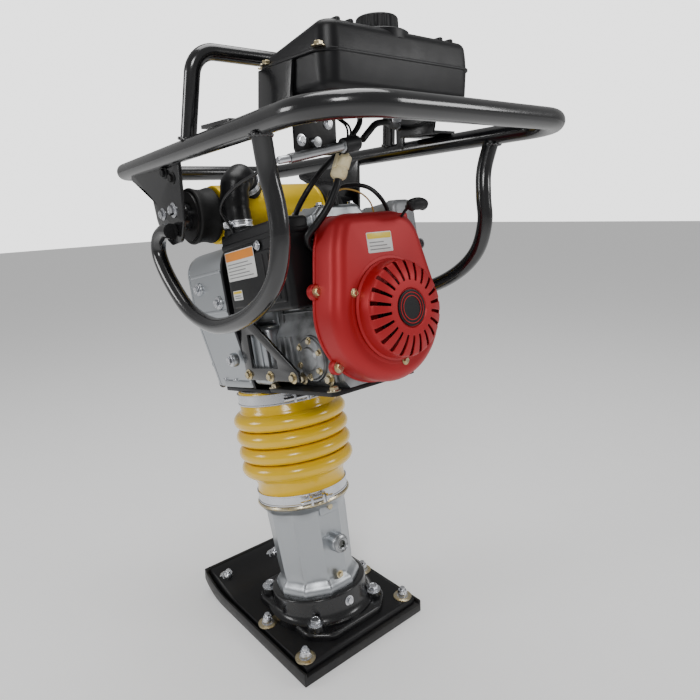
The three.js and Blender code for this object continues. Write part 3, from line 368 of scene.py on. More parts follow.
def flowing(points: list[tuple], count: int = 60) -> np.ndarray:
    """A smooth route through points.

    Each stretch is the cubic whose slope at either end is half the chord between the neighbours.

    Args:
        points: Points that the route passes.
        count: Points wanted along it.

    Returns:
        The points of the route.
    """
    known = np.array(points, float)
    padded = np.concatenate([2 * known[:1] - known[1:2], known, 2 * known[-1:] - known[-2:-1]])
    place = np.linspace(0, len(known) - 1 - 1e-9, count)
    i = place.astype(int)
    t = (place - i)[:, None]
    a, b, c, d = padded[i], padded[i + 1], padded[i + 2], padded[i + 3]
    return 0.5 * (2 * b + (c - a) * t + (2 * a - 5 * b + 4 * c - d) * t**2 + (3 * b - a - 3 * c + d) * t**3)


def swept(path: np.ndarray, radius: float | np.ndarray, sides: int = 28, closed: bool = False,
          reference: tuple = (0, 0, 1)) -> Skin:
    """A round section carried along a path, with rounded closed ends.

    Each ring stands square to the path: path point + r (cos a * side + sin a * lift), where side is
    the reference crossed with the path's direction.

    Args:
        path: Points of the centre line.
        radius: Radius, or one radius for each point.
        sides: Columns round the section.
        closed: Whether the path is a ring.
        reference: A direction the path never runs along.

    Returns:
        The tube's skin.
    """
    radii = np.broadcast_to(np.asarray(radius, float), (len(path),)).copy()
    if closed:
        along = np.roll(path, -1, axis=0) - np.roll(path, 1, axis=0)
    else:
        along = np.gradient(path, axis=0)
        first = along[:1] / np.linalg.norm(along[0])
        last = along[-1:] / np.linalg.norm(along[-1])
        path = np.concatenate([path[:1], path, path[-1:]])
        along = np.concatenate([first, along, last])
        radii = np.concatenate([[0], radii, [0]])
    along = along / np.linalg.norm(along, axis=1, keepdims=True)
    side = np.cross(np.asarray(reference, float), along)
    side = side / np.linalg.norm(side, axis=1, keepdims=True)
    lift = np.cross(along, side)
    angle = np.linspace(0, 2 * math.pi, sides, endpoint=False)[None, :, None]
    section = np.cos(angle) * side[:, None] + np.sin(angle) * lift[:, None]
    rings = path[:, None] + radii[:, None, None] * section
    if closed:
        rings = np.concatenate([rings, rings[:1]])
    return lattice(rings)


def inward_of(outline: np.ndarray) -> np.ndarray:
    """Unit directions into a closed outline: its direction at each point turned by a quarter.

    Args:
        outline: Closed outline in the plane.

    Returns:
        One direction for each point. The sign of the enclosed area says which side is inside.
    """
    along = np.roll(outline, -1, axis=0) - np.roll(outline, 1, axis=0)
    along /= np.linalg.norm(along, axis=1, keepdims=True)
    (x, y), (next_x, next_y) = outline.T, np.roll(outline, -1, axis=0).T
    return np.stack([-along[:, 1], along[:, 0]], axis=1) * np.sign(np.sum(x * next_y - y * next_x))


def pillow(outline: np.ndarray, low: float, high: float, soft_low: float, soft_high: float,
           steps: int = 6) -> Skin:
    """A flat outline carried from low to high along Z, with rounded edges and closed faces.

    Round an edge, the outline is drawn in by soft (1 - sin a) while the height moves by soft cos a.

    Args:
        outline: Closed outline in the plane, as x, y points.
        low: Height of the lower face.
        high: Height of the upper face.
        soft_low: Radius of the lower edge.
        soft_high: Radius of the upper edge.
        steps: Arc steps on each edge.

    Returns:
        The closed skin.
    """
    inward = inward_of(outline)
    bend = np.linspace(0, math.pi / 2, steps + 1)
    inset = np.concatenate([soft_low * (1 - np.sin(bend)), soft_high * (1 - np.cos(bend))])
    height = np.concatenate([low + soft_low * (1 - np.cos(bend)), high - soft_high * (1 - np.sin(bend))])
    rings = outline[None] + inset[:, None, None] * inward[None]
    rows = np.concatenate([rings, np.broadcast_to(height[:, None, None], (*rings.shape[:2], 1))], axis=2)
    middle = outline.mean(axis=0)
    first = np.broadcast_to([*middle, low], rows[:1].shape)
    last = np.broadcast_to([*middle, high], rows[:1].shape)
    return lattice(np.concatenate([first, rows, last]))


def soft_box(low: tuple, high: tuple, radius: float = 3.0, edge: float = 1.5) -> Skin:
    """A box from corner to corner with its upright edges rounded to radius and its rims to edge."""
    corners = [(low[0], low[1]), (high[0], low[1]), (high[0], high[1]), (low[0], high[1])]
    return pillow(filleted(corners, radius, closed=True, steps=6), low[2], high[2], edge, edge, 4)


def disc(radius: float, low: float, high: float, sides: int = 48) -> Skin:
    """A plain round bar about Z from low to high."""
    return revolve([(0, low), (radius, low), (radius, high), (0, high)], sides)


def about_z(angle: float) -> np.ndarray:
    """The matrix that turns a skin about Z by an angle in radians."""
    cos, sin = math.cos(angle), math.sin(angle)
    return np.array([[cos, sin, 0], [-sin, cos, 0], [0, 0, 1]])


def about_x(angle: float) -> np.ndarray:
    """The matrix that turns a skin about X by an angle in radians."""
    cos, sin = math.cos(angle), math.sin(angle)
    return np.array([[1, 0, 0], [0, cos, sin], [0, -sin, cos]])


# Each matrix says where a drawing's x, y and z run.
X_UP = np.array([[0, 1, 0], [0, 0, 1], [1, 0, 0]], float)  # along y, z, x
X_DOWN = np.array([[0, 1, 0], [0, 0, 1], [-1, 0, 0]], float)  # along y, z, -x
Y_UP = np.array([[1, 0, 0], [0, 0, -1], [0, 1, 0]], float)  # along x, -z, y
SIDE_ON = np.array([[1, 0, 0], [0, 0, 1], [0, -1, 0]], float)  # along x, z, -y


def leg_point(u: float, v: float, w: float) -> np.ndarray:
    """A point of the leg's frame in the machine's frame."""
    return LEG_FOOT + np.array([u, v, w]) @ LEG_FRAME


# ---------------------------------------------------------------- pieces


def finished(name: str, skin: Skin, finish: Finish, body: str, replaces: tuple[str, ...] = (),
             sharp: float = 38.0, wall: float = 0.0, ride: bool = True) -> bpy.types.Object:
    """Makes a skin into an object, merged, facing outwards, smooth, and riding on its body.

    Args:
        name: Object name.
        skin: Surface in millimetres in the machine's frame.
        finish: Its finish.
        body: The CAD body that carries it.
        replaces: CAD nodes that it stands for.
        sharp: Angle in degrees past which an edge stays crisp.
        wall: Thickness in millimetres to give an open skin.
        ride: Whether it rides on the body at once.

    Returns:
        The finished object.
    """
    mesh = bpy.data.meshes.new(name)
    mesh.from_pydata((skin.points * MM).tolist(), [], skin.quads.tolist())
    work = bmesh.new()
    work.from_mesh(mesh)
    bmesh.ops.remove_doubles(work, verts=work.verts, dist=2e-6)
    bmesh.ops.recalc_face_normals(work, faces=work.faces)
    work.to_mesh(mesh)
    work.free()
    smoothed(mesh, sharp)
    mesh.materials.append(finish.material())
    piece = bpy.data.objects.new(name, mesh)
    bpy.context.scene.collection.objects.link(piece)
    if wall:
        shell = piece.modifiers.new("wall", "SOLIDIFY")
        shell.thickness = wall * MM
        shell.offset = -1
    if replaces:
        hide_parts(*replaces)
    if ride:
        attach(piece, body)
    LOG.info("%s: %d points on %s", name, len(mesh.vertices), body)
    return piece


def smoothed(mesh: bpy.types.Mesh, sharp: float) -> None:
    """Shades a mesh smooth except where faces meet at more than a given angle, in degrees."""
    mesh.polygons.foreach_set("use_smooth", np.ones(len(mesh.polygons), bool))
    mesh.set_sharp_from_angle(angle=math.radians(sharp))


def eased(node: str, finish: Finish, body: str, width: float = 1.2, corner: float = 40.0) -> bpy.types.Object:
    """A copy of a CAD node with its loose triangles merged and its crisp edges rounded.

    Args:
        node: CAD node to copy and stand for.
        finish: Finish of the copy.
        body: Body that carries it.
        width: Width of the rounded edge in millimetres.
        corner: Angle in degrees past which an edge is rounded.

    Returns:
        The eased piece.
    """
    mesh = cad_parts[node].data.copy()
    mesh.name = f"{node}_eased"
    mesh.materials.clear()
    work = bmesh.new()
    work.from_mesh(mesh)
    bmesh.ops.remove_doubles(work, verts=work.verts, dist=1e-5)
    bmesh.ops.dissolve_limit(work, angle_limit=math.radians(1.0), verts=work.verts, edges=work.edges)
    least = math.radians(corner)
    crisp = [edge for edge in work.edges if len(edge.link_faces) == 2 and edge.calc_face_angle(0) > least]
    bmesh.ops.bevel(work, geom=crisp, offset=width * MM, segments=2, profile=0.6, affect="EDGES",
                    clamp_overlap=True)
    work.to_mesh(mesh)
    work.free()
    smoothed(mesh, 32.0)
    mesh.materials.append(finish.material())
    piece = bpy.data.objects.new(f"{node}_fine", mesh)
    bpy.context.scene.collection.objects.link(piece)
    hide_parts(node)
    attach(piece, body)
    return piece


class Fastener(Enum):
    """Profiles of the fasteners, in shares of the hexagon's corner radius: radius, height, hexagon."""

    BOLT = ((0, 0), (1.5, 0), (1.5, 0.16), (1.12, 0.2), (1.1, 0.26), (1.0, 0.3, 1), (1.0, 0.86, 1),
            (0.84, 1.0, 0.4), (0.6, 1.0), (0.55, 0.94), (0, 0.94))
    NUT = ((0, 0), (1.65, 0), (1.65, 0.18), (1.1, 0.2), (1.08, 0.26), (1.0, 0.3, 1), (1.0, 1.05, 1),
           (0.84, 1.2, 0.3), (0.78, 1.42), (0.68, 1.5), (0.5, 1.5), (0.5, 1.95), (0.44, 2.0), (0, 2.0))
    SCREW = ((0, 0), (1.25, 0), (1.25, 0.14), (1.0, 0.16), (1.0, 0.5), (0.8, 0.72), (0.4, 0.78),
             (0.4, 0.4, 1), (0, 0.4))

    def at(self, place: tuple, direction: tuple, size: float) -> Skin:
        """The fastener with its seat at a place, standing along a direction.

        Args:
            place: Centre of its seat in millimetres.
            direction: Where its head points.
            size: Radius to the hexagon's corners.

        Returns:
            Its skin.
        """
        rows = [(radius * size, height * size, *hexagon) for radius, height, *hexagon in self.value]
        return revolve(rows, 36).aimed(place, direction)

    def row(self, places: list[tuple], direction: tuple, size: float) -> list[Skin]:
        """The same fastener at each of several places, all standing along one direction."""
        return [self.at(place, direction, size) for place in places]


def clamp_ring(radius: float, width: float, wall: float = 1.2) -> Skin:
    """A band round Z with rolled rims, closed, centred on z = 0.

    Args:
        radius: Inner radius.
        width: Width from rim to rim.
        wall: Thickness of the band; a rim is twice as thick.

    Returns:
        The band's skin.
    """
    half, band, rim = width / 2, radius + wall, radius + wall * 2
    return revolve([(radius, -half), (rim, -half), (rim, -half + 2), (band, -half + 3), (band, half - 3),
                    (rim, half - 2), (rim, half), (radius, half), (radius, -half)], 96)


def worm_clamp(place: tuple, direction: tuple, radius: float, screw_side: tuple) -> Skin:
    """A hose clamp: a band, the housing of its worm and the worm's hexagon head.

    Args:
        place: Centre of the band.
        direction: Axis of the hose there.
        radius: Radius of the hose.
        screw_side: Direction from the centre to the worm's housing.

    Returns:
        Its skin.
    """
    axis = np.asarray(direction, float) / np.linalg.norm(direction)
    out = np.asarray(screw_side, float) - axis * float(np.dot(screw_side, axis))
    out = out / np.linalg.norm(out)
    along = np.cross(axis, out)
    band = clamp_ring(radius, 11, 0.8).aimed(place, axis)
    seat = np.asarray(place, float) + out * (radius + 4.5)
    housing = soft_box((-8, -5, -3.5), (8, 5, 3.5), 1.5, 1.0).turned(np.array([along, axis, out]), seat)
    head = Fastener.BOLT.at(tuple(seat + along * 7), tuple(along), 3.6)
    return Skin.joined([band, housing, head])


# ---------------------------------------------------------------- shoe, foot and leg


@dataclass
class Shoe:
    """The sole plate, the block on it and the nuts that hold them.

    Args:
        block_top: Height of the block's top face.
        nut: Radius to the corners of the shoe's nuts.
        nut_places: Seats of the nuts on the flat of the block.
        toe_places: Seats of the nuts on the toe's slope.
        toe_top: Height of the nuts' seats there.
        slope: Direction square to the toe's slope.
    """

    block_top: float = 31.3
    nut: float = 10.5
    nut_places: tuple = ((136, -123), (136, 123), (12, -123), (12, 123))
    toe_places: tuple = ((-152, -118), (-152, 0), (-152, 118))
    toe_top: float = 46.5
    slope: tuple = (0.3, 0, 1)

    def build(self) -> None:
        """Makes the plates' fine copies, the nuts and their washers."""
        eased("sole_plate", PLATE_BLACK, "foot", 1.6)
        eased("shoe_block", BLOCK_BLACK, "foot", 2.0)
        seats = [(x, y, self.block_top) for x, y in self.nut_places]
        nuts = Fastener.NUT.row(seats, UP, self.nut)
        nuts += Fastener.NUT.row([(x, y, self.toe_top) for x, y in self.toe_places], self.slope, self.nut)
        finished("shoe_nuts", Skin.joined(nuts), ZINC, "foot", sharp=CRISP)
        washer = revolve([(0, 0), (18.5, 0), (18.5, 1.2), (16.5, 2.4), (0, 2.6)], 48)
        washers = [washer.aimed(seat, UP) for seat in seats]
        washers += [washer.aimed((x, y, self.toe_top - 0.5), self.slope) for x, y in self.toe_places]
        finished("shoe_washers", Skin.joined(washers), YELLOW_ZINC, "foot")


@dataclass
class Foot:
    """The black foot casting: a cone round the leg, a waisted flange, bolt bosses and ribs.

    Args:
        bolt_x: Bolts' distance from the leg, fore and aft.
        bolt_y: Bolts' distance from the leg, sideways.
        boss_top: Height of the bolts' seats.
        base: Height of the casting's underside.
    """

    bolt_x: float = 78.0
    bolt_y: float = 73.0
    boss_top: float = 55.0
    base: float = 31.6

    def build(self) -> None:
        """Makes the casting, its four bolts and the plug at the rear."""
        middle, tall = LEG_FOOT[0], self.boss_top - self.base
        corners = [(x, y) for x in (-self.bolt_x, self.bolt_x) for y in (-self.bolt_y, self.bolt_y)]
        boss = revolve([(0, 0), (19, 0), (17.5, 10), (15.5, 20), *arc((13.5, tall - 2), 2, 0, 90, 3),
                        (0, tall)], 48)
        bosses = [boss.aimed((middle + x, y, self.base), UP) for x, y in corners]
        rib = soft_box((60, -5, 0), (101, 5, 26), 3, 3)
        ribs = [rib.turned(about_z(math.atan2(y, x)), (middle, 0, self.base)) for x, y in corners]
        whole = Skin.joined([self.flange(), self.collar(), *bosses, *ribs])
        whole.points[:, 2] = np.maximum(whole.points[:, 2], self.base)
        finished("foot_casting_fine", whole, CAST_BLACK, "foot", ("foot_casting",))
        seats = [(middle + x, y, self.boss_top) for x, y in corners]
        finished("foot_bolts", Skin.joined(Fastener.BOLT.row(seats, UP, 9.8)), ZINC, "foot", sharp=CRISP)
        washers = [disc(15.5, 0, 1.4).aimed(seat, UP) for seat in seats]
        plug = Fastener.BOLT.at((95.3, 0, 17), REARWARD, 6.5).leaned()
        finished("foot_washers", Skin.joined([*washers, plug]), ZINC, "foot", sharp=CRISP)

    def collar(self) -> Skin:
        """The collar round the leg, level at its foot and square to the leg at its mouth.

        Each ring is tilted by the leg's lean times its height's share of the way up.

        Returns:
            The collar's skin.
        """
        foot = self.base - LEG_FOOT[2]
        rows = [(0, foot), (108, foot), (107.5, 1), *arc((109, 15), 13, -95, -175, 7), (95.5, 30),
                *arc((91.5, 34), 4, 0, 90, 4), (0, 38)]
        radius, height = np.array(rows).T
        tilt = (LEAN * np.clip((height - foot) / 30, 0, 1))[:, None]
        angle = np.linspace(0, 2 * math.pi, 96, endpoint=False)[None]
        across = radius[:, None] * np.cos(angle)
        x = LEG_FOOT[0] + across * np.cos(tilt) - height[:, None] * np.sin(tilt)
        z = LEG_FOOT[2] + across * np.sin(tilt) + height[:, None] * np.cos(tilt)
        return lattice(np.stack([x, radius[:, None] * np.sin(angle), z], axis=-1))

    def flange(self) -> Skin:
        """The flange: a rounded plate whose sides are cut straight beside the bolts."""
        corners = [(-92, -60), (-60, -97), (108, -97), (140, -60), (140, 60), (108, 97), (-60, 97), (-92, 60)]
        return pillow(filleted(corners, 30, closed=True), self.base, 45, 0.2, 5)


@dataclass
class Leg:
    """The silver leg casting: facets between ribs, a base flange, a bossed shoulder and a neck.

    Args:
        facets: Number of flat panels round it.
        low: Radius above the base flange.
        high: Radius under the shoulder.
        rib: How far the ribs stand out between panels.
        glass: Middle of the sight glass on the leg's axis, and its distance to the right.
    """

    facets: int = 10
    low: float = 73.0
    high: float = 78.5
    rib: float = 1.1
    glass: tuple = (0, 8, 128)

    def build(self) -> None:
        """Makes the casting with its boss, the sight glass ring and the small bolts."""
        neck = revolve([(73.3, 208), (88, 215.5), (90, 216), (83, 216.2), (83, 245), (81, 247), (73.3, 247),
                        (73.3, 208)], 96)
        boss = revolve([(0, 62), (18, 62), (18, 84), *arc((15.5, 85.5), 2.5, 0, 90, 3), (11.4, 88),
                        (11.4, 82), (0, 82)], 48).turned(X_UP, self.glass)
        seat = soft_box((74.5, -22, 192), (82, 22, 213), 3, 2)
        casting = Skin.joined([self.barrel(), neck, boss, seat]).leaned()
        finished("leg_casting_fine", casting, SILVER, "foot", ("leg_casting",), sharp=32)
        ring = revolve([(7.5, 88.3), (16.5, 88.3), (16.5, 91.5), (13.5, 93), (12.4, 91.6), (10.6, 91.6),
                        (9.8, 93), (7.5, 92), (7.5, 88.3)], 48)
        finished("sight_ring", ring.turned(X_UP, self.glass).leaned(), MACHINED, "foot")
        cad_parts["sight_glass"].data.materials[0] = sight_glass_material()
        bolts = [Fastener.BOLT.at((79, 0, 205), REARWARD, 6.2), Fastener.BOLT.at((79, 0, 66), REARWARD, 5.0)]
        finished("leg_bolts", Skin.joined(bolts).leaned(), YELLOW_ZINC, "foot", sharp=CRISP)

    def barrel(self) -> Skin:
        """The faceted barrel, bored from its mouth.

        At height w the radius is r(w) less d(w) times what a flat panel cuts off the circle, plus a ridge
        shaped as a bell curve between the panels; d fades the panels out at both ends.

        Returns:
            The barrel's skin.
        """
        w = np.concatenate([[38.3, 38.3, 46, 50, 54, 60], np.linspace(66, 196, 40),
                            [200, 203, 206, 210, 213, 216, 216]])
        radius = np.interp(w, [38.3, 48, 54, 60, 66, 196, 203, 210, 216],
                           [84, 84, 80, 74, self.low, self.high, 80, 86, 90])
        depth = np.interp(w, [38.3, 50, 60, 78, 186, 200, 206], [0.6, 0.6, 0.3, 1.0, 1.0, 0.2, 0.0])
        radius[0] = 0.0
        bore = np.array([(73.2, 216), (73.2, 196), (58.5, 190), (58.5, 46), (0, 46)])
        radius, w = np.concatenate([radius, bore[:, 0]]), np.concatenate([w, bore[:, 1]])
        depth = np.concatenate([depth, np.zeros(len(bore))])
        angle = np.linspace(0, 2 * math.pi, self.facets * 24, endpoint=False)
        step = 2 * math.pi / self.facets
        phase = np.mod(angle + step / 2, step) / step
        flat = math.cos(step / 2) / np.cos((phase - 0.5) * step)
        ridge = np.exp(-(((np.abs(phase - 0.5) - 0.5) / 0.07) ** 2)) * self.rib
        shape = radius[:, None] * (1 - depth[:, None] * (1 - flat)[None]) + ridge[None] * depth[:, None]
        shape[0] = 0.0
        upright = np.repeat(w[:, None], len(angle), axis=1)
        return lattice(np.stack([shape * np.cos(angle), shape * np.sin(angle), upright], axis=-1))


@dataclass
class Bellows:
    """The yellow bellows between leg and machine, with its two bands.

    Args:
        lobes: Number of bulges.
        lobe: Radius of a bulge.
        groove: Radius of the folds.
        pitch: Height from bulge to bulge.
        first: Height of the lowest bulge.
        lower: Height of the lower band.
        upper: Height of the upper band.
    """

    lobes: int = 4
    lobe: float = 111.0
    groove: float = 96.0
    pitch: float = 31.4
    first: float = 292.0
    lower: float = 234.0
    upper: float = 430.0

    def build(self) -> None:
        """Makes the bellows and the bands with their bolts.

        The bellows' radius is groove + (lobe - groove) sqrt(|sin(pi turns)|).
        """
        start = self.first - self.pitch / 2
        turns = np.linspace(0, self.lobes, 20 * self.lobes + 1)
        radius = self.groove + (self.lobe - self.groove) * np.sqrt(np.abs(np.sin(math.pi * turns)))
        height = start + self.pitch * turns
        rows = [(80, 217), (87, 217), *arc((85.5, 242), 2.5, 0, 40, 3), (86.5, 258), (90, 268),
                *zip(radius, height), (95, height[-1] + 4), (93.4, 408), (93.4, 442), (92, 444), (86, 444)]
        piece = finished("bellows_fine", revolve(rows, 120).leaned(), YELLOW_RUBBER, "foot", ("bellows",),
                         sharp=60, wall=3.0, ride=False)
        # The faces in the folds take the darker amber: painted shade in the grooves.
        piece.data.materials.append(PAINTED_FOLD_SHADE.material())
        centres = np.empty(3 * len(piece.data.polygons))
        piece.data.polygons.foreach_get("center", centres)
        u, v, w = ((centres.reshape(-1, 3) / MM - LEG_FOOT) @ LEG_FRAME.T).T
        shaded_folds = (np.hypot(u, v) < self.groove + 4.5) & (w > start + 6) & (w < height[-1] - 6)
        piece.data.polygons.foreach_set("material_index", shaded_folds.astype(np.int32))
        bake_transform(piece)
        lower = [clamp_ring(87.5, 20).moved((0, 0, self.lower)), *self.bolt_ears(101, self.lower - 1)]
        finished("lower_band", Skin.joined(lower).leaned(), ZINC, "foot", ("lower_clamp",), sharp=CRISP)
        ring = revolve([(83.5, 217), (91, 217), (92.5, 220), (91, 223), (83.5, 223), (83.5, 217)], 96)
        finished("shoulder_ring", ring.leaned(), YELLOW_ZINC, "foot")
        upper = [clamp_ring(93.6, 21).moved((0, 0, self.upper)), *self.bolt_ears(106, self.upper)]
        finished("upper_band", Skin.joined(upper).leaned(), ZINC, "machine", ("upper_clamp",), sharp=CRISP)

    def bolt_ears(self, reach: float, height: float) -> list[Skin]:
        """The two ears and the T-bolt that pull a band tight, facing the rear right.

        Args:
            reach: Distance of the bolt from the leg axis.
            height: Height of the bolt.

        Returns:
            The skins of the ears, the bolt and its nut.
        """
        ears = [soft_box((reach - 16, side - 2.2, height - 8), (reach + 5, side + 2.2, height + 8), 1, 0.8)
                for side in (-13, 11)]
        rod = revolve([(0, -34), (3.6, -34), (4, -33), (4, 28), (3.6, 29), (0, 29)], 24)
        nut = Fastener.BOLT.at((reach, 13.5, height), RIGHTWARD, 7.0)
        turn = about_z(math.radians(-18))
        return [skin.turned(turn) for skin in (*ears, rod.turned(Y_UP, (reach, 0, height)), nut)]


# ---------------------------------------------------------------- gear case and engine


@dataclass
class GearCase:
    """The silver gear case with its black flanges.

    Args:
        front: Front face of the case.
        rear: Rear face, where the clutch housing is bolted.
        half: Half width at the top.
        top: Height of the roof.
        pads: Places of the bolt pads on the left side.
        side: Face of those pads.
    """

    front: float = -110.0
    rear: float = 26.8
    half: float = 107.0
    top: float = 719.0
    pads: tuple = ((-74, 650), (-2, 619), (8, 512))
    side: float = -110.5

    def outline(self, grow: float = 0.0) -> np.ndarray:
        """The case seen from the rear, narrow at the leg and arched at the top.

        Args:
            grow: How far the outline stands outside the case.

        Returns:
            The closed outline.
        """
        h, t = self.half + grow, self.top + grow
        corners = [(-81 - grow, 453.6), (81 + grow, 453.6), (89 + grow, 500), (h, 600), (h, t), (-h, t),
                   (-h, 600), (-89 - grow, 500)]
        return filleted(corners, [4, 4, 30, 60, 42, 42, 60, 30], closed=True)

    def build(self) -> None:
        """Makes the case, its cover and flanges, with the bolts in view."""
        shell = pillow(self.outline(), self.front, self.rear, 3, 1.5).turned(X_UP)
        foot = soft_box((-92, -86, 453.4), (26, 86, 468), 14, 3)
        pad = revolve([(0, self.side), (11.5, self.side), (13, -108), (13, -100), (0, -100)], 40)
        pads = [pad.turned(Y_UP, (u, 0, w)) for u, w in self.pads]
        ribs = [soft_box((self.front + 8, -self.half - 2.5, w), (20, -self.half + 4, w + 6), 2, 1.5)
                for w in (600, 672)]
        case = Skin.joined([shell, foot, *pads, *ribs]).leaned()
        finished("gear_case_fine", case, SILVER, "machine", ("gear_case",), sharp=34)

        cover = pillow(self.outline(), self.front - 8.3, self.front - 0.3, 3, 0.5).turned(X_UP)
        dome = revolve([(0, 30), *arc((60, 24), 6, 80, 20, 3), (74, 4), (76, 0), (0, 0)], 72)
        dome = dome.turned(X_DOWN, (self.front - 8, 0, 610))
        finished("gear_cover_fine", Skin.joined([cover, dome]).leaned(), SILVER, "machine",
                 ("gear_case_cover",))
        rim = self.outline(-9)[::9]
        bolts = Fastener.BOLT.row([(self.front - 8.2, v, w) for v, w in rim], FORWARD, 6)
        bolts += Fastener.BOLT.row([(u, self.side + 0.2, w) for u, w in self.pads], LEFTWARD, 7.5)
        bolts += Fastener.BOLT.row([(u, v, 468) for u in (-82, -40) for v in (-78, 78)], UP, 7)
        finished("gear_case_bolts", Skin.joined(bolts).leaned(), ZINC, "machine", sharp=CRISP)

        flange = soft_box((-93, -85, 446), (93, 85, 453), 16, 1.2)
        finished("bellows_flange_fine", flange.leaned(), ALLOY_BLACK, "machine", ("bellows_flange",))
        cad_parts["guide_cylinder"].data.materials[0] = MACHINED.material()
        eased("clutch_housing", ALLOY_BLACK, "machine", 1.2)


@dataclass
class Engine:
    """The engine: block with fins, head cover, muffler, carburettor, base plate and bracket.

    Args:
        front: Front face of the block, towards the clutch.
        rear: Rear face, under the fan shroud.
        half: Half width of the crankcase.
        barrel: Half width of the finned cylinder.
        side_cover: Middle of the round cover on the left.
    """

    front: float = 112.0
    rear: float = 285.0
    half: float = 72.0
    barrel: float = 56.0
    side_cover: tuple = (214.0, 508.0)

    def build(self) -> None:
        """Makes the engine's visible pieces."""
        eased("engine_block", ALLOY, "machine", 1.5)
        eased("engine_base", PLATE_BLACK, "machine", 1.0)
        eased("engine_bracket", GLOSS_BLACK, "machine", 1.0)
        eased("carburettor", ALLOY, "machine", 1.2)
        self.castings()
        self.clutch_bell()
        self.bolts()
        self.head()
        self.muffler()

    def castings(self) -> None:
        """Makes the cylinder's fins, the crankcase ribs, the side cover and the oil filler."""
        low, high = (self.front + 12, -self.barrel - 8), (self.rear - 8, self.barrel + 6)
        fins = [soft_box((*low, w), (*high, w + 2.4), 6, 0.8) for w in range(582, 702, 9)]
        u, w = self.side_cover
        cover = revolve([(0, 0), (38, 0), (37, 5), *arc((31, 5), 4, 0, 90, 3), (20, 9), (18, 12),
                         (0, 12)], 64)
        cover = cover.turned(SIDE_ON, (u, -self.half + 1, w))
        ribs = [soft_box((u, -self.half - 5, 470), (u + 4, -self.half + 2, 545), 1.5, 1)
                for u in (126, 142, 158, 268)]
        filler = revolve([(0, -9), (11, -9), (13, -7), (13, 0), (0, 0)], 40)
        filler = filler.turned(Y_UP, (150, -self.half + 1, 486))
        finished("engine_castings", Skin.joined([*fins, cover, *ribs, filler]).leaned(), ALLOY, "machine")

    def clutch_bell(self) -> None:
        """Makes the silver bell between the clutch housing and the block, with its foot and webs."""
        bell = revolve([(0, 36), (66, 36), (66, 39), *arc((66, 44), 4, -90, -180, 4), (60.8, 60), (60.8, 104),
                        *arc((58.8, 109.5), 2, 0, 90, 3), (0, 111.5)], 72).turned(X_UP, (0, 0, ENGINE_W))
        web = soft_box((36, -3, 58), (100, 3, 63.5), 2, 1.5)
        webs = [web.turned(about_x(angle), (0, 0, ENGINE_W)) for angle in np.radians((60, 90, 120, 150))]
        foot = soft_box((37, -90, 462), (111, -40, 566), 14, 9)
        steps = [soft_box((u, -92.5, 470), (u + 5, -84, 556), 2, 2) for u in (58, 84, 102)]
        finished("clutch_bell", Skin.joined([bell, foot, *steps, *webs]).leaned(), SILVER, "machine")

    def bolts(self) -> None:
        """Makes the bolts of the side cover, the drains, the bracket and the base."""
        u, w = self.side_cover
        ring = [(u + 29 * math.cos(angle), -self.half - 7, w + 29 * math.sin(angle))
                for angle in np.radians(np.arange(20, 380, 60))]
        bolts = Fastener.BOLT.row(ring, LEFTWARD, 4.6)
        bolts += Fastener.BOLT.row([(u, -self.half, 474) for u in (178, 250)], LEFTWARD, 7)
        bracket = ((47, 484), (47, 576), (190, 481), (120, 482))
        bolts += Fastener.BOLT.row([(u, -99.8, w) for u, w in bracket], LEFTWARD, 6.5)
        bolts += Fastener.BOLT.row([(u, v, 459.2) for u in (106, 274) for v in (-86, 76)], UP, 7.5)
        finished("engine_bolts", Skin.joined(bolts).leaned(), YELLOW_ZINC, "machine", sharp=CRISP)

    def head(self) -> None:
        """Makes the head cover with its ribs and bolts."""
        corners = [(-50, 703.5), (58, 703.5), (60, 729), (44, 745), (-34, 745), (-50, 731)]
        head = pillow(filleted(corners, 7, closed=True), self.front, self.rear - 40, 7, 7).turned(X_UP)
        ribs = [soft_box((u, -36, 742), (u + 5, 44, 747), 2, 1.5) for u in (138, 168, 198)]
        finished("head_cover_fine", Skin.joined([head, *ribs]).leaned(), SILVER, "machine", ("head_cover",))
        bolts = Fastener.BOLT.row([(u, v, 745) for u in (122, 234) for v in (-28, 38)], UP, 5)
        finished("head_bolts", Skin.joined(bolts).leaned(), ZINC, "machine", sharp=CRISP)

    def muffler(self) -> None:
        """Makes the muffler box with its bands, louvres, port and tail pipe."""
        box = pillow(self.muffler_outline(0), 186, 284, 6, 9).turned(X_UP)
        bands = [pillow(self.muffler_outline(1.5), u, u + 4, 1.5, 1.5, 3).turned(X_UP) for u in (200, 262)]
        slats = [np.array([(212, 139, w), (252, 139, w)], float) for w in range(662, 734, 9)]
        louvres = [swept(slat, 2.6, 12) for slat in slats]
        port = disc(13, 50, 88, 32).turned(Y_UP, (240, 0, 670))
        tail = revolve([(0, 280), (9, 280), (9, 299), (7.4, 299), (7.4, 292), (0, 292)], 32)
        parts = Skin.joined([box, *bands, *louvres, port, tail.turned(X_UP, (0, 122, 664))]).leaned()
        finished("muffler_fine", parts, EXHAUST, "machine", ("muffler",), sharp=34)

    def muffler_outline(self, grow: float) -> np.ndarray:
        """The muffler seen from the rear.

        Args:
            grow: How far the outline stands outside the box.

        Returns:
            The closed outline.
        """
        left, right, low, high = 86 - grow, 138 + grow, 644 - grow, 742 + grow
        corners = [(left, low), (right, low), (right, high), (left, high)]
        return filleted(corners, 16 if not grow else 17, closed=True)


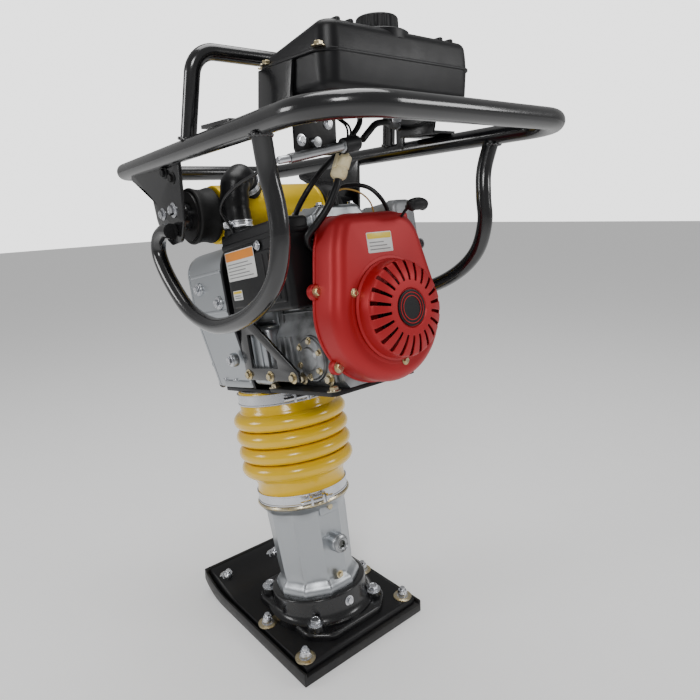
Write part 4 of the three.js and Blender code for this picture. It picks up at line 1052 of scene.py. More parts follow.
def blunted(outline: np.ndarray, count: int, reach: int) -> np.ndarray:
    """A closed outline at equal steps, each point the mean of its neighbours, which rounds its corners.

    Args:
        outline: Closed outline.
        count: Points wanted.
        reach: Neighbours on each side that are averaged.

    Returns:
        The blunted outline.
    """
    loop = np.concatenate([outline, outline[:1]])
    length = np.concatenate([[0], np.cumsum(np.linalg.norm(np.diff(loop, axis=0), axis=1))])
    place = np.linspace(0, length[-1], count, endpoint=False)
    even = np.stack([np.interp(place, length, loop[:, k]) for k in (0, 1)], axis=1)
    return np.mean([np.roll(even, k, axis=0) for k in range(-reach, reach + 1)], axis=0)


@dataclass
class Shroud:
    """The red fan shroud and the recoil cover with its slots and badge.

    Args:
        back: Plane where the shroud meets the engine.
        depth: Depth of the shroud.
        cover: Radius of the recoil cover.
        slots: Number of slots round the cover.
        ears: Middles of the ears that the shroud is bolted by.
        grip: Middle of the recoil grip.
    """

    back: float = 285.3
    depth: float = 56.0
    cover: float = 74.0
    slots: int = 22
    ears: tuple = ((-103, 612), (-86, 497), (98, 612), (87, 497))
    grip: tuple = (46, 716)

    @property
    def face(self) -> float:
        """Plane of the shroud's rear face."""
        return self.back + self.depth

    def build(self) -> None:
        """Makes the shroud with its bolts and label, then the cover, grip and plug lead."""
        sweep = np.radians(np.linspace(20, -200, 60))
        bowl = np.stack([110 * np.cos(sweep), SHROUD_W + 110 * np.sin(sweep)], axis=1)
        drawn = np.concatenate([[(-72, 717), (52, 717), (80, 696)], bowl, [(-90, 676)]])
        outline = blunted(drawn, 180, 4)
        shell = pillow(outline, self.back, self.face, 1.5, 20, 10).turned(X_UP)
        lip = pillow(blunted(outline, 180, 1), self.back + 0.5, self.back + 5, 1, 2, 3)
        middle = np.array([0, SHROUD_W, 0])
        lip = lip.moved(-middle).turned(np.diag([1.022, 1.02, 1.0]), middle).turned(X_UP)
        ear = revolve([(0, 0), (12, 0), (12, 8), (10, 10), (0, 10)], 32)
        ears = [ear.turned(X_UP, (self.back, v, w)) for v, w in self.ears]
        guide = soft_box((301, 22, 690), (335, 66, 712), 6, 4)
        step = revolve([(0, 0), (84, 0), (84, 1.5), *arc((81, 1.5), 2, 0, 90, 3), (0, 3.5)], 96)
        step = step.turned(X_UP, (self.face - 3.2, 0, SHROUD_W))
        whole = Skin.joined([shell, lip, *ears, guide, step]).leaned()
        finished("fan_shroud_fine", whole, RED_COAT, "machine", ("fan_shroud",), sharp=40)
        screws = Fastener.BOLT.row([(self.back + 10, v, w) for v, w in self.ears], REARWARD, 6.2)
        ring = [(self.face + 0.3, 80 * math.cos(angle), SHROUD_W + 80 * math.sin(angle))
                for angle in np.radians((155, 35, -85))]
        screws += Fastener.BOLT.row(ring, REARWARD, 4.6)
        finished("shroud_bolts", Skin.joined(screws).leaned(), YELLOW_ZINC, "machine", sharp=CRISP)
        Label("shroud_plate", YELLOW_LABEL, 50, 30, 3).build(X_UP, (self.face - 0.2, -34, 655))
        self.recoil()
        self.starter_grip()
        self.plug_lead()

    def recoil(self) -> None:
        """Makes the recoil cover: a turned lid with its slots left open, and a badge in the middle."""
        base, r = (self.face + 0.3, 0, SHROUD_W), self.cover
        slotted = [(r - 7 - 1.75 * i, 29.5 + 8 * math.sin(i * math.pi / 32)) for i in range(17)]
        before = [(r + 3, 0), (r + 3, 3), (r, 5), (r - 1, 13), *arc((r - 14, 20), 12.5, 0, 38, 5)]
        after = [(34, 37.8), (30, 37.8), (28.6, 36.4), (28, 35.4), (0, 35.4)]
        rows = before + slotted + after
        pitch, gap = 12, 4
        lid = revolve(rows, self.slots * pitch)
        ring, column = np.divmod(np.arange(len(lid.quads)), self.slots * pitch)
        open_rows = (ring >= 7) & (ring <= len(rows) - 8)
        lid.quads = lid.quads[~(open_rows & (column % pitch < gap))]
        finished("recoil_cover_fine", lid.turned(X_UP, base).leaned(), RED_COAT, "machine",
                 ("recoil_cover",), sharp=40, wall=1.8)
        badge = revolve([(0, 34), (27, 34), (27, 37), *arc((26, 37), 1, 0, 90, 2), (24.5, 38), (24, 37.2),
                         (0, 37.2)], 64)
        finished("recoil_badge", badge.turned(X_UP, base).leaned(), BOX_BLACK, "machine")
        trim = [revolve([(inner, 37), (inner, 38.1), (inner + 1.2, 38.1), (inner + 1.2, 37), (inner, 37)], 64)
                for inner in (17, 22)]
        finished("badge_rings", Skin.joined(trim).turned(X_UP, base).leaned(), RED_COAT, "machine")
        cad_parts["starter_pulley"].data.materials[0] = BOX_BLACK.material()
        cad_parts["flywheel"].data.materials[0] = ALLOY.material()

    def starter_grip(self) -> None:
        """Makes the recoil grip, a bar with blunt ends and a neck, and the start of its rope."""
        u, (v, w) = self.face + 32, self.grip
        route = flowing([(u, v - 17, w - 2), (u + 2, v - 8, w + 0.5), (u + 2.5, v, w + 1),
                         (u + 2, v + 8, w + 0.5), (u, v + 17, w - 2)], 24)
        thick = np.array([5, 7.5, 8.6, *[9] * 5, 9.2, *[9.4] * 6, 9.2, *[9] * 5, 8.6, 7.5, 5])
        neck = revolve([(0, 353), (4, 353), (5.5, 362), (8, 372), (0, 374)], 24).turned(X_UP, (0, v, w))
        finished("recoil_grip_fine", Skin.joined([swept(route, thick, 28), neck]).leaned(), BOX_BLACK, "grip",
                 ("recoil_grip",))
        line = flowing([(330, v, w - 14), (340, v, w - 10), (348, v, w - 4), (358, v, w)], 18)
        rope = finished("starter_rope", swept(line, 2.2, 16).leaned(), RUBBER, "machine", ride=False)
        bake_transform(rope)

    def plug_lead(self) -> None:
        """Makes the plug lead with its boot."""
        lead = flowing([(236, 0, 748), (236, 2, 762), (252, 20, 772), (276, 42, 764), (290, 56, 742),
                        (286, 70, 718), (270, 70, 700)], 60)
        boot = revolve([(0, 744), (9, 744), (9, 757), (6, 764), (4, 768), (0, 768)], 32).moved((236, 0, 0))
        whole = Skin.joined([swept(lead, 3.5, 18, reference=(0.3, -0.5, 0.2)), boot])
        finished("plug_lead_fine", whole.leaned(), HOSE, "machine", ("plug_lead",))


@dataclass
class Label:
    """A plain two-tone plate with a coloured header and grey bars, no lettering.

    Args:
        name: Piece name.
        header: Finish of its header.
        width: Width along its first direction.
        height: Height along its second.
        bars: Number of grey bars below the header.
    """

    name: str
    header: Finish
    width: float
    height: float
    bars: int = 3

    def build(self, matrix: np.ndarray, shift: tuple) -> None:
        """Places the plate on the machine, in the leg's frame.

        Args:
            matrix: Rows are the directions of width, height and face.
            shift: Lower corner of the plate.
        """
        split = self.height * 0.68
        plate = soft_box((0, 0, 0), (self.width, self.height, 0.5), 2, 0.15)
        header = soft_box((1.2, split, 0.2), (self.width - 1.2, self.height - 1.2, 0.7), 1.5, 0.1)
        step = split / (self.bars + 1)
        lines = [(step * (i + 1), self.width * (0.9 - 0.12 * (i % 3))) for i in range(self.bars)]
        bars = [soft_box((4, low - 1, 0.3), (long, low + 0.6, 0.62), 0.5, 0.05) for low, long in lines]
        for part, skin, finish in (("plate", plate, WHITE_LABEL), ("header", header, self.header),
                                   ("bars", Skin.joined(bars), GREY_INK)):
            finished(f"{self.name}_{part}", skin.turned(matrix, shift).leaned(), finish, "machine")


# ---------------------------------------------------------------- intake


@dataclass
class Intake:
    """The cross tube with its dampers, the air cleaner and the elbow between them.

    Args:
        radius: Radius of the yellow tube.
        left: Left end of the tube.
        right: Right end of the tube.
        damper: Radius of a damper.
        long: Length of a damper.
        elbow: Centre line of the rubber elbow, from the box up to the tube.
    """

    radius: float = 50.0
    left: float = -115.0
    right: float = 97.0
    damper: float = 47.0
    long: float = 48.0
    elbow: tuple = ((104, -102, 724), (104, -102, 750), (104, -101, 782), (104, -95, 808), (98, -80, 820),
                    (88, -66, 816), (76, -54, 803))

    def build(self) -> None:
        """Makes the tube, dampers, breather, box, elbow and clamps."""
        r, low, high = self.radius, self.left, self.right
        rows = [(0, low), (r - 7, low), *arc((r - 3, low + 3), 3, -90, 0, 3),
                (r, low + 8), (r - 0.6, low + 9), (r, low + 10),
                (r, high - 10), (r - 0.6, high - 9), (r, high - 8),
                *arc((r - 3, high - 3), 3, 0, 90, 3), (0, high)]
        tube = revolve(rows, 96).turned(Y_UP, (CROSS_U, 0, CROSS_W)).leaned()
        finished("cross_tube_fine", tube, YELLOW_COAT, "machine", ("cross_tube",))
        self.rubber_damper("left", low - 0.3 - self.long)
        self.rubber_damper("right", high + 0.3)
        dome = revolve([(0, 0), (17, 0), (17, 10), *arc((13, 15), 6, 0, 80, 5), (8, 23),
                        *arc((4, 24), 4, 0, 90, 3), (0, 28)], 48).moved((CROSS_U - 2, -40, CROSS_W + 38))
        finished("breather_fine", dome.leaned(), BOX_BLACK, "machine", ("breather_cap",))
        self.box()
        self.rubber_elbow()

    def rubber_damper(self, word: str, start: float) -> None:
        """Makes a damper: rubber waisted by 3 mm times the sine of the share of its length, and two plates.

        Args:
            word: Side's name.
            start: Its left end.
        """
        axis, d, n = (CROSS_U, 0, CROSS_W), self.damper, self.long
        waist = [(d - 3 * math.sin(math.pi * share), 8 + (n - 16) * share) for share in np.linspace(0, 1, 9)]
        rows = [(0, 4), (d - 2, 4), *arc((d - 2.5, 7), 2.5, -60, 0, 3), *waist,
                *arc((d - 2.5, n - 7), 2.5, 0, 60, 3), (d - 2, n - 4), (0, n - 4)]
        rubber = revolve([(radius, height + start) for radius, height in rows], 72).turned(Y_UP, axis)
        finished(f"damper_{word}_fine", rubber.leaned(), RUBBER, "machine", (f"damper_{word}",))
        plates = [disc(d - 6, low, low + 4, 64).turned(Y_UP, axis) for low in (start, start + n - 4)]
        finished(f"damper_{word}_plates", Skin.joined(plates).leaned(), PLATE_BLACK, "machine")

    def rubber_elbow(self) -> None:
        """Makes the elbow, whose middle is corrugated: radius 24 + 0.7 cos(12 pi share), and its clamps."""
        count = 70
        route = flowing(list(self.elbow), count)
        share = np.linspace(0, 1, count)
        ripple = 24 + 0.7 * np.cos(2 * math.pi * share * 6) * ((share > 0.25) & (share < 0.8))
        skin = swept(route, ripple, 40, reference=(0.6, 0.5, -0.2)).leaned()
        finished("intake_elbow_fine", skin, HOSE, "machine", ("intake_elbow",), sharp=60)
        clamps = [worm_clamp((104, -102, 742), UP, 24.6, (0.5, -1, 0)),
                  worm_clamp(tuple(route[60]), tuple(route[62] - route[59]), 24.6, (0, -0.4, 1))]
        finished("elbow_clamps", Skin.joined(clamps).leaned(), ZINC, "machine", sharp=30)

    def box(self) -> None:
        """Makes the air cleaner: body, lid with a lip, panel, ribs, screws and the labels."""
        body = soft_box((78, -128, 592), (268, -76, 728), 10, 6)
        lid = soft_box((76, -129.5, 702), (270, -74.5, 712), 11, 3)
        panel = soft_box((92, -131, 604), (254, -120, 688), 3, 4)
        ribs = [soft_box((u, -132.5, 610), (u + 4, -122, 682), 1.5, 1.5) for u in (206, 222, 238)]
        mouth = revolve([(0, 722), (26, 722), (26, 732), (24, 734), (0, 734)], 48).moved((104, -102, 0))
        whole = Skin.joined([body, lid, panel, *ribs, mouth]).leaned()
        finished("air_cleaner_fine", whole, BOX_BLACK, "machine", ("air_cleaner",), sharp=40)
        screws = Fastener.SCREW.row([(u, -131, 696) for u in (200, 250)], LEFTWARD, 6)
        finished("air_cleaner_screws", Skin.joined(screws).leaned(), ZINC, "machine", sharp=CRISP)
        Label("warning_plate", ORANGE_LABEL, 92, 48, 5).build(SIDE_ON, (94, -131.2, 650))
        Label("small_plate", YELLOW_LABEL, 30, 16, 2).build(SIDE_ON, (100, -131.2, 618))


# ---------------------------------------------------------------- handle, tank and controls


@dataclass
class Handle:
    """The handle loop, its guards, brackets and lifting bar.

    Args:
        rear: Corner of the loop at the operator, x and half width and height.
        front: Corner of the loop at the front, likewise.
        tube: Radius of the loop's tube.
        guard: Radius of the guard tubes.
        bar: Radius of the lifting bar.
        guard_x: Where a guard tube joins the loop.
        bar_x: Where the lifting bar stands on the loop.
        plate: Distance of a bracket's outer face from the middle.
    """

    rear: tuple = (415.0, 230.0, 917.0)
    front: tuple = (-311.0, 177.0, 891.0)
    tube: float = 14.5
    guard: float = 12.5
    bar: float = 11.5
    guard_x: float = 271.0
    bar_x: float = 47.0
    plate: float = 190.0

    def side(self, x: float, side: int) -> np.ndarray:
        """Centre of a side tube at a given x.

        Args:
            x: Place along the machine.
            side: -1 on the left, 1 on the right.

        Returns:
            The point on the straight line between the loop's corners.
        """
        share = (self.rear[0] - x) / (self.rear[0] - self.front[0])
        _, half, height = np.array(self.rear) + (np.array(self.front) - np.array(self.rear)) * share
        return np.array([x, side * half, height])

    def build(self) -> None:
        """Makes the loop, guards, brackets, lifting bar, weld beads and bracket bolts."""
        (rx, ry, rz), (fx, fy, fz) = self.rear, self.front
        corners = [(rx, -ry, rz), (rx, ry, rz), (fx, fy, fz), (fx, -fy, fz)]
        loop = filleted(corners, [80, 80, 45, 45], closed=True, steps=18)
        finished("handle_loop", swept(loop, self.tube, 40, closed=True), GLOSS_BLACK, "handle",
                 ("handle_rear", "handle_front", "handle_left", "handle_right"))
        post = Skin.joined([soft_box((78, 192, 905), (98, 197, 948), 2, 1),
                            disc(9, 187, 202, 32).turned(Y_UP, (88, 0, 948))])
        finished("hose_post", post, GLOSS_BLACK, "handle")
        beads = []
        for word, side in (("left", -1), ("right", 1)):
            top, foot = self.side(self.guard_x, side), self.side(self.bar_x, side)
            self.guard_tube(word, side, top)
            beads.append(self.bead((top[0], top[1], top[2] - self.tube + 1), UP, self.guard))
            seat = (foot[0] + 2, foot[1] * 0.998, foot[2] + self.tube - 1)
            beads.append(self.bead(seat, (0.17, -side * 0.06, 1), self.bar))
            self.bracket(word, side)
        finished("weld_beads", Skin.joined(beads), GLOSS_BLACK, "handle")
        left, right = self.side(self.bar_x, -1), self.side(self.bar_x, 1)
        path = filleted([tuple(left), (69, -190, 1034), (69, 190, 1034), tuple(right)], [34, 34], steps=14)
        finished("lifting_bar_fine", swept(path, self.bar, 32, reference=REARWARD), GLOSS_BLACK, "handle",
                 ("lifting_bar",))

    def guard_tube(self, word: str, side: int, top: np.ndarray) -> None:
        """Makes a guard tube, from under the loop round the engine to its bracket.

        Args:
            word: Side's name.
            side: -1 on the left, 1 on the right.
            top: Centre of the loop's tube above it.
        """
        bends = [(268, 818), (271, 775), (255, 728), (214, 690), (150, 660), (72, 644), (-6, 658), (-68, 700),
                 (-102, 742), (-98, 770), (-72, 784), (-46, 785)]
        route = [(top[0], top[1], top[2] - 4), (264, side * 209, 860)]
        route += [(x, side * 203, z) for x, z in bends]
        skin = swept(flowing(route, 110), self.guard, 32, reference=RIGHTWARD)
        finished(f"guard_{word}_fine", skin, GLOSS_BLACK, "handle", (f"guard_{word}",))

    def bead(self, place: tuple, direction: tuple, radius: float) -> Skin:
        """A weld bead: a ring round a tube, 2.2 + 0.5 sin(18 angle) thick.

        Args:
            place: Middle of the ring.
            direction: Axis of the tube.
            radius: Radius of the tube.

        Returns:
            Its skin.
        """
        angle = np.linspace(0, 2 * math.pi, 72, endpoint=False)
        ring = np.stack([(radius + 0.5) * np.cos(angle), (radius + 0.5) * np.sin(angle), 0 * angle], axis=1)
        return swept(ring, 2.2 + 0.5 * np.sin(angle * 18), 12, closed=True).aimed(place, direction)

    def bracket(self, word: str, side: int) -> None:
        """Makes a bracket plate with its hub and bolts.

        Args:
            word: Side's name.
            side: -1 on the left, 1 on the right.
        """
        corners = [(-221, 888), (-221, 872), (-166, 853), (-137, 838), (-127, 800), (-113, 778), (-76, 760),
                   (-40, 767), (-24, 800), (-20, 898)]
        outline = filleted(corners, [3, 8, 20, 16, 20, 16, 16, 16, 16, 3], closed=True)
        low, high = (self.plate - 6, self.plate) if side < 0 else (-self.plate, 6 - self.plate)
        plate = pillow(outline, low, high, 1.2, 1.2, 3).turned(SIDE_ON)
        near, far = (-186, -163.6) if side < 0 else (145.6, 186)
        hub = disc(24, near, far).turned(Y_UP, (-65.7, 0, 806.1))
        whole = Skin.joined([plate, hub])
        finished(f"bracket_{word}_fine", whole, GLOSS_BLACK, "handle", (f"bracket_{word}",))
        face, out = side * self.plate, (0, side, 0)
        bolts = [Fastener.BOLT.at((-55, face, 818), out, 8.2), Fastener.BOLT.at((-98, face, 812), out, 7.0)]
        finished(f"bracket_{word}_bolts", Skin.joined(bolts), ZINC, "handle", sharp=CRISP)
        dark = Fastener.BOLT.row([(x, face, z) for x, z in ((-46, 868), (-74, 878), (-80, 786))], out, 6.5)
        finished(f"bracket_{word}_studs", Skin.joined(dark), PLATE_BLACK, "handle", sharp=CRISP)


@dataclass
class Tank:
    """The moulded fuel tank: sloped top, seam flange and filler cap.

    Args:
        low: Lowest corner of the tank.
        high: Highest corner of the tank.
        seam: Height of the seam.
        corner: Radius of its upright edges.
        filler: Place of the cap's centre.
    """

    low: tuple = (127.0, -122.0, 955.0)
    high: tuple = (278.0, 160.0, 1041.0)
    seam: float = 1003.0
    corner: float = 24.0
    filler: tuple = (232.0, 8.0)

    def roof(self, x: np.ndarray) -> np.ndarray:
        """Height of the top at x: low at the front, a straight slope, then nearly level."""
        return np.interp(x, [127, 135, 150, 196, 208, 220, 278],
                         [1010, 1013.5, 1018.5, 1034, 1037, 1038.5, 1041])

    def build(self) -> None:
        """Makes the tank with its seam flange, neck and ridges, then the cap and the seam bolts."""
        (x0, y0, _), (x1, y1, _) = self.low, self.high
        rim = [(x0 - 5, y0 - 5), (x1 + 0.9, y0 - 5), (x1 + 0.9, y1 + 5), (x0 - 5, y1 + 5)]
        rim = filleted(rim, self.corner + 3, closed=True, steps=12)
        flange = pillow(rim, self.seam - 2.2, self.seam + 2.2, 1.4, 1.4, 4)
        neck = revolve([(0, 1030), (44, 1030), (44, 1041), *arc((40, 1039.5), 3.5, 20, 90, 4), (27, 1043),
                        (0, 1043)], 72)
        seat = soft_box((160, -92, 1012), (196, -40, 1030), 8, 4)
        ridges = [soft_box((222, y, 1034), (270, y + 8, 1043.5), 3.5, 3) for y in (-96, -74, 96, 118)]
        parts = Skin.joined([self.shell(), flange, neck.moved((*self.filler, 0)), *ridges, seat])
        finished("fuel_tank_fine", parts, TANK_BLACK, "handle", ("fuel_tank",), sharp=42)
        self.cap()
        seats = [(x, y, self.seam + 2) for x, y in ((131, -116), (131, 154), (150, -125), (268, -125))]
        bolts = Skin.joined(Fastener.BOLT.row(seats, UP, 6))
        finished("tank_bolts", bolts, YELLOW_ZINC, "handle", sharp=CRISP)

    def shell(self) -> Skin:
        """The moulded body: rings drawn in from the outline.

        Up to the seam a ring stands level. Above it a ring stands at seam + (roof - seam) * share, and the
        rings of the roof shrink towards its middle.

        Returns:
            The closed skin.
        """
        (x0, y0, floor), (x1, y1, _) = self.low, self.high
        outline = filleted([(x0, y0), (x1, y0), (x1, y1), (x0, y1)], self.corner, closed=True, steps=12)
        inward, middle = inward_of(outline), outline.mean(axis=0)
        bend, soft, edge = np.linspace(0, math.pi / 2, 8), 14, 13
        below = [(soft * (1 - math.cos(b)), soft * (1 - math.sin(b)) + 1.5) for b in bend]
        below = [(floor + rise, inset) for rise, inset in below] + [(985.0, 0.8), (1000.0, 0.0)]
        above = [(0.02, 0.0), (0.25, 0.8), (0.5, 1.6), (0.66, 2.6)]
        above += [(0.66 + 0.34 * math.sin(b), 2.6 + edge * (1 - math.cos(b))) for b in bend[1:]]
        rings = [np.broadcast_to([*middle, floor], (len(outline), 3))]
        for height, inset in below:
            rings.append(np.column_stack([outline + inset * inward, np.full(len(outline), height)]))
        for share, inset in above:
            flat = outline + inset * inward
            rings.append(np.column_stack([flat, self.seam + (self.roof(flat[:, 0]) - self.seam) * share]))
        last = outline + above[-1][1] * inward
        for share in (0.85, 0.7, 0.5, 0.3, 0.12, 0.0):
            flat = middle + (last - middle) * share
            rings.append(np.column_stack([flat, self.roof(flat[:, 0])]))
        return lattice(np.array(rings))

    def cap(self) -> None:
        """Makes the filler cap, whose side is ribbed: radius r (1 + 0.02 cos 24 a)."""
        rows = [(0, 1042), (29, 1042), (29.4, 1044), (29.4, 1054), (29, 1059), *arc((25, 1060), 4, 0, 90, 5),
                (18, 1064), (17, 1062.5), (0, 1062.5)]
        cap = revolve(rows, 192)
        angle = np.arctan2(cap.points[:, 1], cap.points[:, 0])
        away = np.linalg.norm(cap.points[:, :2], axis=1)
        ribbed = ((away > 27.5) & (cap.points[:, 2] > 1043) & (cap.points[:, 2] < 1062))[:, None]
        cap.points[:, :2] *= 1 + 0.02 * np.cos(24 * angle)[:, None] * ribbed
        finished("tank_cap_fine", cap.moved((*self.filler, 0)), BOX_BLACK, "cap", ("tank_cap",), sharp=50)


@dataclass
class Controls:
    """The control plate, throttle lever, cables, hoses and the electrical plug.

    Args:
        cable_route: Centre line of the throttle cable.
        hose_route: Centre line of the control hose.
        fuel_route: Centre line of the fuel hose.
        harness_route: Centre line of the engine's sleeved wires, in the leg's frame.
        wire_route: Centre line of the thin tan wire.
        lead_route: Centre line between the plug's two wires.
        plug: Foot of the connector.
        plug_lean: How far the connector leans to the left, in degrees.
    """

    cable_route: tuple = ((214, -147, 877), (196, -153, 874), (150, -157, 862), (100, -158, 849),
                          (56, -156, 832), (30, -150, 815), (20, -138, 800), (17, -128, 787), (16, -123, 776))
    hose_route: tuple = ((212, -8, 906), (206, 10, 918), (190, 40, 932), (160, 90, 940), (120, 140, 942),
                         (90, 186, 947))
    fuel_route: tuple = ((150, 40, 958), (150, 40, 935), (141, 10, 900), (128, -30, 860), (112, -58, 815),
                         (98, -66, 775), (90, -66.2, 734))
    harness_route: tuple = ((314, -46, 768), (314, -56, 752), (310, -72, 728), (300, -88, 708),
                            (287, -97, 694), (277.5, -90, 681), (275.5, -76, 671), (268, -66.5, 663),
                            (256, -66, 658))
    wire_route: tuple = ((196, -52, 850), (188, -44, 836), (182, -20, 838), (180, 10, 832), (176, 34, 818),
                         (172, 46, 800))
    lead_route: tuple = ((200, -40, 884), (206, -30, 905), (198, -24, 925), (180, -30, 940), (172, -36, 952))
    plug: tuple = (196, -46, 852)
    plug_lean: float = -24.0

    def build(self) -> None:
        """Makes every control piece."""
        eased("control_plate", PLATE_BLACK, "handle", 1.2)
        eased("throttle_lever", MACHINED, "lever", 0.8)
        eased("tank_bracket_left", GLOSS_BLACK, "handle", 1.2)
        eased("tank_bracket_right", GLOSS_BLACK, "handle", 1.2)
        bolts = Fastener.BOLT.row([(203, -64, 926), (203, -87, 934), (203, -112, 903)], REARWARD, 5.2)
        finished("control_bolts", Skin.joined(bolts), ZINC, "handle", sharp=CRISP)
        ferrule = revolve([(0, 0), (5, 0), (5, 16), (3.6, 18), (0, 18)], 24)
        finished("cable_ferrule", ferrule.aimed((214, -141, 878), (-0.2, -1, -0.15)), ZINC, "handle")
        pad = revolve([(0, 0), (11, 0), (11, 26), (10, 28), (0, 28)], 32).aimed((212, -46, 896), (0, 1, 0.19))
        finished("lever_clamp", pad, BOX_BLACK, "lever", sharp=30)

        hose = swept(flowing(list(self.hose_route), 80), 5, 24, reference=(0.7, -0.3, 1))
        finished("control_hose_fine", hose, HOSE, "handle", ("control_hose",))
        clip = worm_clamp((91, 184, 946.6), (-0.55, 0.8, 0.05), 5.2, UP)
        finished("hose_clip", clip, ZINC, "handle", sharp=30)
        self.crossing("throttle_cable", self.cable_route, 2.4, HOSE, (0.2, 0.1, 1))
        fuel = self.fuel_route
        self.crossing("fuel_hose", fuel, 4.5, HOSE, (1, -0.2, 0.1))
        sleeve = tuple(tuple(leg_point(*point)) for point in self.harness_route)
        self.crossing("engine_harness", sleeve, 5.5, HOSE, (0.3, 0.2, 0.1))
        lead = [flowing([(x, y + apart, z) for x, y, z in self.lead_route], 40) for apart in (-3, 3)]
        wires = [swept(route, 1.6, 12, reference=(1, 0.4, 0)) for route in lead]
        finished("plug_wires", Skin.joined(wires), HOSE, "handle")
        wire = self.wire_route
        self.crossing("tan_wire", wire, 1.3, TAN_SLEEVE, (0, 0.2, 1), replaces=False)
        self.connector()

    def connector(self) -> None:
        """Makes the flat ivory plug with its collar, latch and grip ribs."""
        body = revolve([(0, -1), (7, -1), (8.5, 0), (11, 1.5), (13, 4), (13.6, 8), (13.2, 14), (12.2, 15),
                        (12.2, 16.5), (13.6, 17.5), (13.6, 31), *arc((11.6, 33), 2, 0, 90, 3),
                        (8, 35), (8, 39), (0, 39)], 48)
        body.points[:, 1] *= 0.84
        latch = soft_box((-3.5, -13.2, 12), (3.5, -9, 34), 1.5, 1)
        ribs = [soft_box((-14.2, -5, w), (14.2, 5, w + 1.6), 1.5, 0.6) for w in (6, 9.5, 27)]
        plug = Skin.joined([body, latch, *ribs]).turned(about_x(math.radians(self.plug_lean)), self.plug)
        finished("connector_fine", plug, IVORY, "handle", ("connector",), sharp=45)

    def crossing(self, name: str, route: tuple, radius: float, finish: Finish, reference: tuple,
                 replaces: bool = True) -> None:
        """Makes a cable that runs between the handle and the machine.

        Args:
            name: Node that it stands for.
            route: Points of its centre line.
            radius: Its radius.
            finish: Its finish.
            reference: A direction that the route never runs along.
            replaces: Whether a CAD node of that name is hidden.
        """
        skin = swept(flowing(list(route), 90), radius, 20, reference=reference)
        piece = finished(f"{name}_fine", skin, finish, "handle", (name,) if replaces else (), ride=False)
        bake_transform(piece)


# ---------------------------------------------------------------- the room


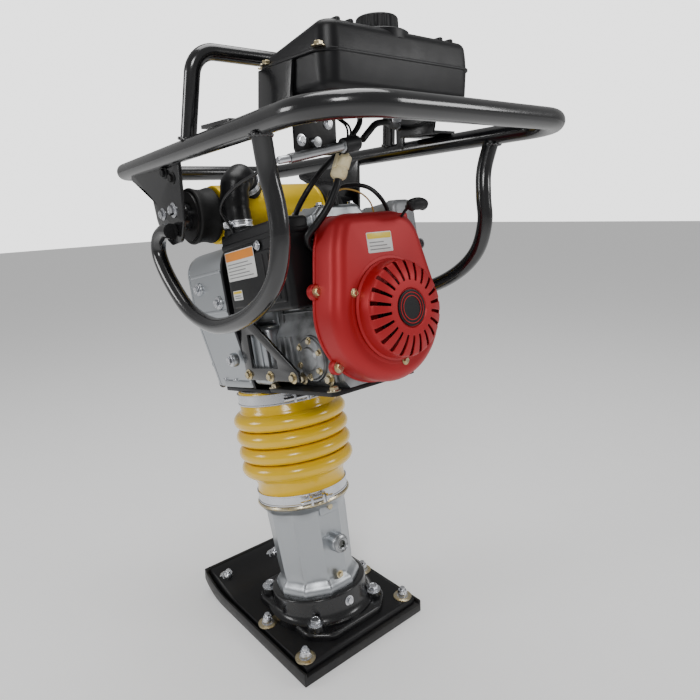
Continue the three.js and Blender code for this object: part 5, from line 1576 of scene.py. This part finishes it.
@dataclass
class Studio:
    """The floor, soft lights and camera.

    Args:
        camera_place: Camera position in metres.
        yaw: Degrees from +Y towards -X of the view direction.
        pitch: Degrees below level.
        roll: Degrees of roll.
        lens: Focal length on a 36 mm sensor.
        floor_half: Half the floor's width in metres.
        floor_glow: Light that the floor gives off.
        room_light: Strength of the white surroundings as a light.
        backdrop: Strength of the surroundings as the camera sees them.
        lamps: Name, place, size and watts of each lamp.
        aim: Point that the lamps face.
    """

    camera_place: tuple = (0.8919, -0.6146, 0.8197)
    yaw: float = 50.3
    pitch: float = 14.1
    roll: float = -2.6
    lens: float = 30.45
    floor_half: float = 15.0
    floor_glow: float = 0.25
    room_light: float = 0.32
    backdrop: float = 3.0
    lamps: tuple = (("key", (1.7, -1.6, 2.1), 0.7, 23), ("fill", (1.9, 1.6, 1.6), 0.7, 12),
                    ("left", (-1.2, -2.2, 1.4), 0.8, 16), ("top", (0.0, 0.2, 2.8), 1.6, 30))
    aim: tuple = (0.0, 0.0, 0.6)

    def build(self) -> None:
        """Makes the camera, floor, lights and the pale surroundings."""
        self.camera()
        self.floor()
        self.room()
        for name, place, size, power in self.lamps:
            light = bpy.data.lights.new(name, "AREA")
            light.size, light.energy = size, power
            lamp = bpy.data.objects.new(name, light)
            lamp.location = place
            lamp.rotation_euler = (Vector(self.aim) - Vector(place)).to_track_quat("-Z", "Y").to_euler()
            bpy.context.scene.collection.objects.link(lamp)

    def camera(self) -> None:
        """Makes the camera: turned by its roll, tipped down from level, then swung round Z."""
        data = bpy.data.cameras.new("view")
        data.lens, data.sensor_width, data.clip_start = self.lens, 36.0, 0.01
        camera = bpy.data.objects.new("view", data)
        camera.location = self.camera_place
        yaw = Matrix.Rotation(math.radians(self.yaw), 4, "Z")
        pitch = Matrix.Rotation(math.radians(90 - self.pitch), 4, "X")
        camera.rotation_euler = (yaw @ pitch @ Matrix.Rotation(math.radians(self.roll), 4, "Z")).to_euler()
        bpy.context.scene.collection.objects.link(camera)
        bpy.context.scene.camera = camera

    def floor(self) -> None:
        """Makes the plain floor, which glows a little so that it stays pale."""
        mesh, h = bpy.data.meshes.new("floor"), self.floor_half
        mesh.from_pydata([(-h, -h, 0), (h, -h, 0), (h, h, 0), (-h, h, 0)], [], [(0, 1, 2, 3)])
        paper = FLOOR.material()
        glow = paper.node_tree.nodes["Principled BSDF"].inputs
        glow["Emission Color"].default_value = (1, 1, 1, 1)
        glow["Emission Strength"].default_value = self.floor_glow
        mesh.materials.append(paper)
        floor = bpy.data.objects.new("floor", mesh)
        floor.location.z = -0.0002
        bpy.context.scene.collection.objects.link(floor)

    def room(self) -> None:
        """Makes the white surroundings, brighter to the camera than as a light."""
        world = bpy.data.worlds.new("room")
        world.use_nodes = True
        nodes, links = world.node_tree.nodes, world.node_tree.links
        seen, lit = nodes.new("ShaderNodeBackground"), nodes["Background"]
        seen.inputs["Strength"].default_value = self.backdrop
        lit.inputs["Color"].default_value = (1, 1, 1, 1)
        lit.inputs["Strength"].default_value = self.room_light
        rays, mixed = nodes.new("ShaderNodeLightPath"), nodes.new("ShaderNodeMixShader")
        links.new(rays.outputs["Is Camera Ray"], mixed.inputs[0])
        links.new(lit.outputs[0], mixed.inputs[1])
        links.new(seen.outputs[0], mixed.inputs[2])
        links.new(mixed.outputs[0], nodes["World Output"].inputs["Surface"])
        bpy.context.scene.world = world


INNER = {"spring_cylinder": MACHINED, "lower_spring": ZINC, "upper_spring": ZINC, "ram": MACHINED,
         "crank_gear": MACHINED, "connecting_rod": MACHINED, "clutch_pinion": MACHINED,
         "clutch_drum": MACHINED, "engine_crankshaft": MACHINED}  # CAD nodes that stay as they are


def main() -> None:
    """Builds the studio and every sub-assembly, then gives the inner CAD nodes their finishes."""
    logging.basicConfig(level=logging.INFO, format="%(message)s")
    for part in (Studio(), Shoe(), Foot(), Leg(), Bellows(), GearCase(), Engine(), Shroud(), Intake(),
                 Handle(), Tank(), Controls()):
        LOG.info("building %s", type(part).__name__)
        part.build()
    for node, finish in INNER.items():
        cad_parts[node].data.materials[0] = finish.material()


if __name__ == "__main__":
    main()
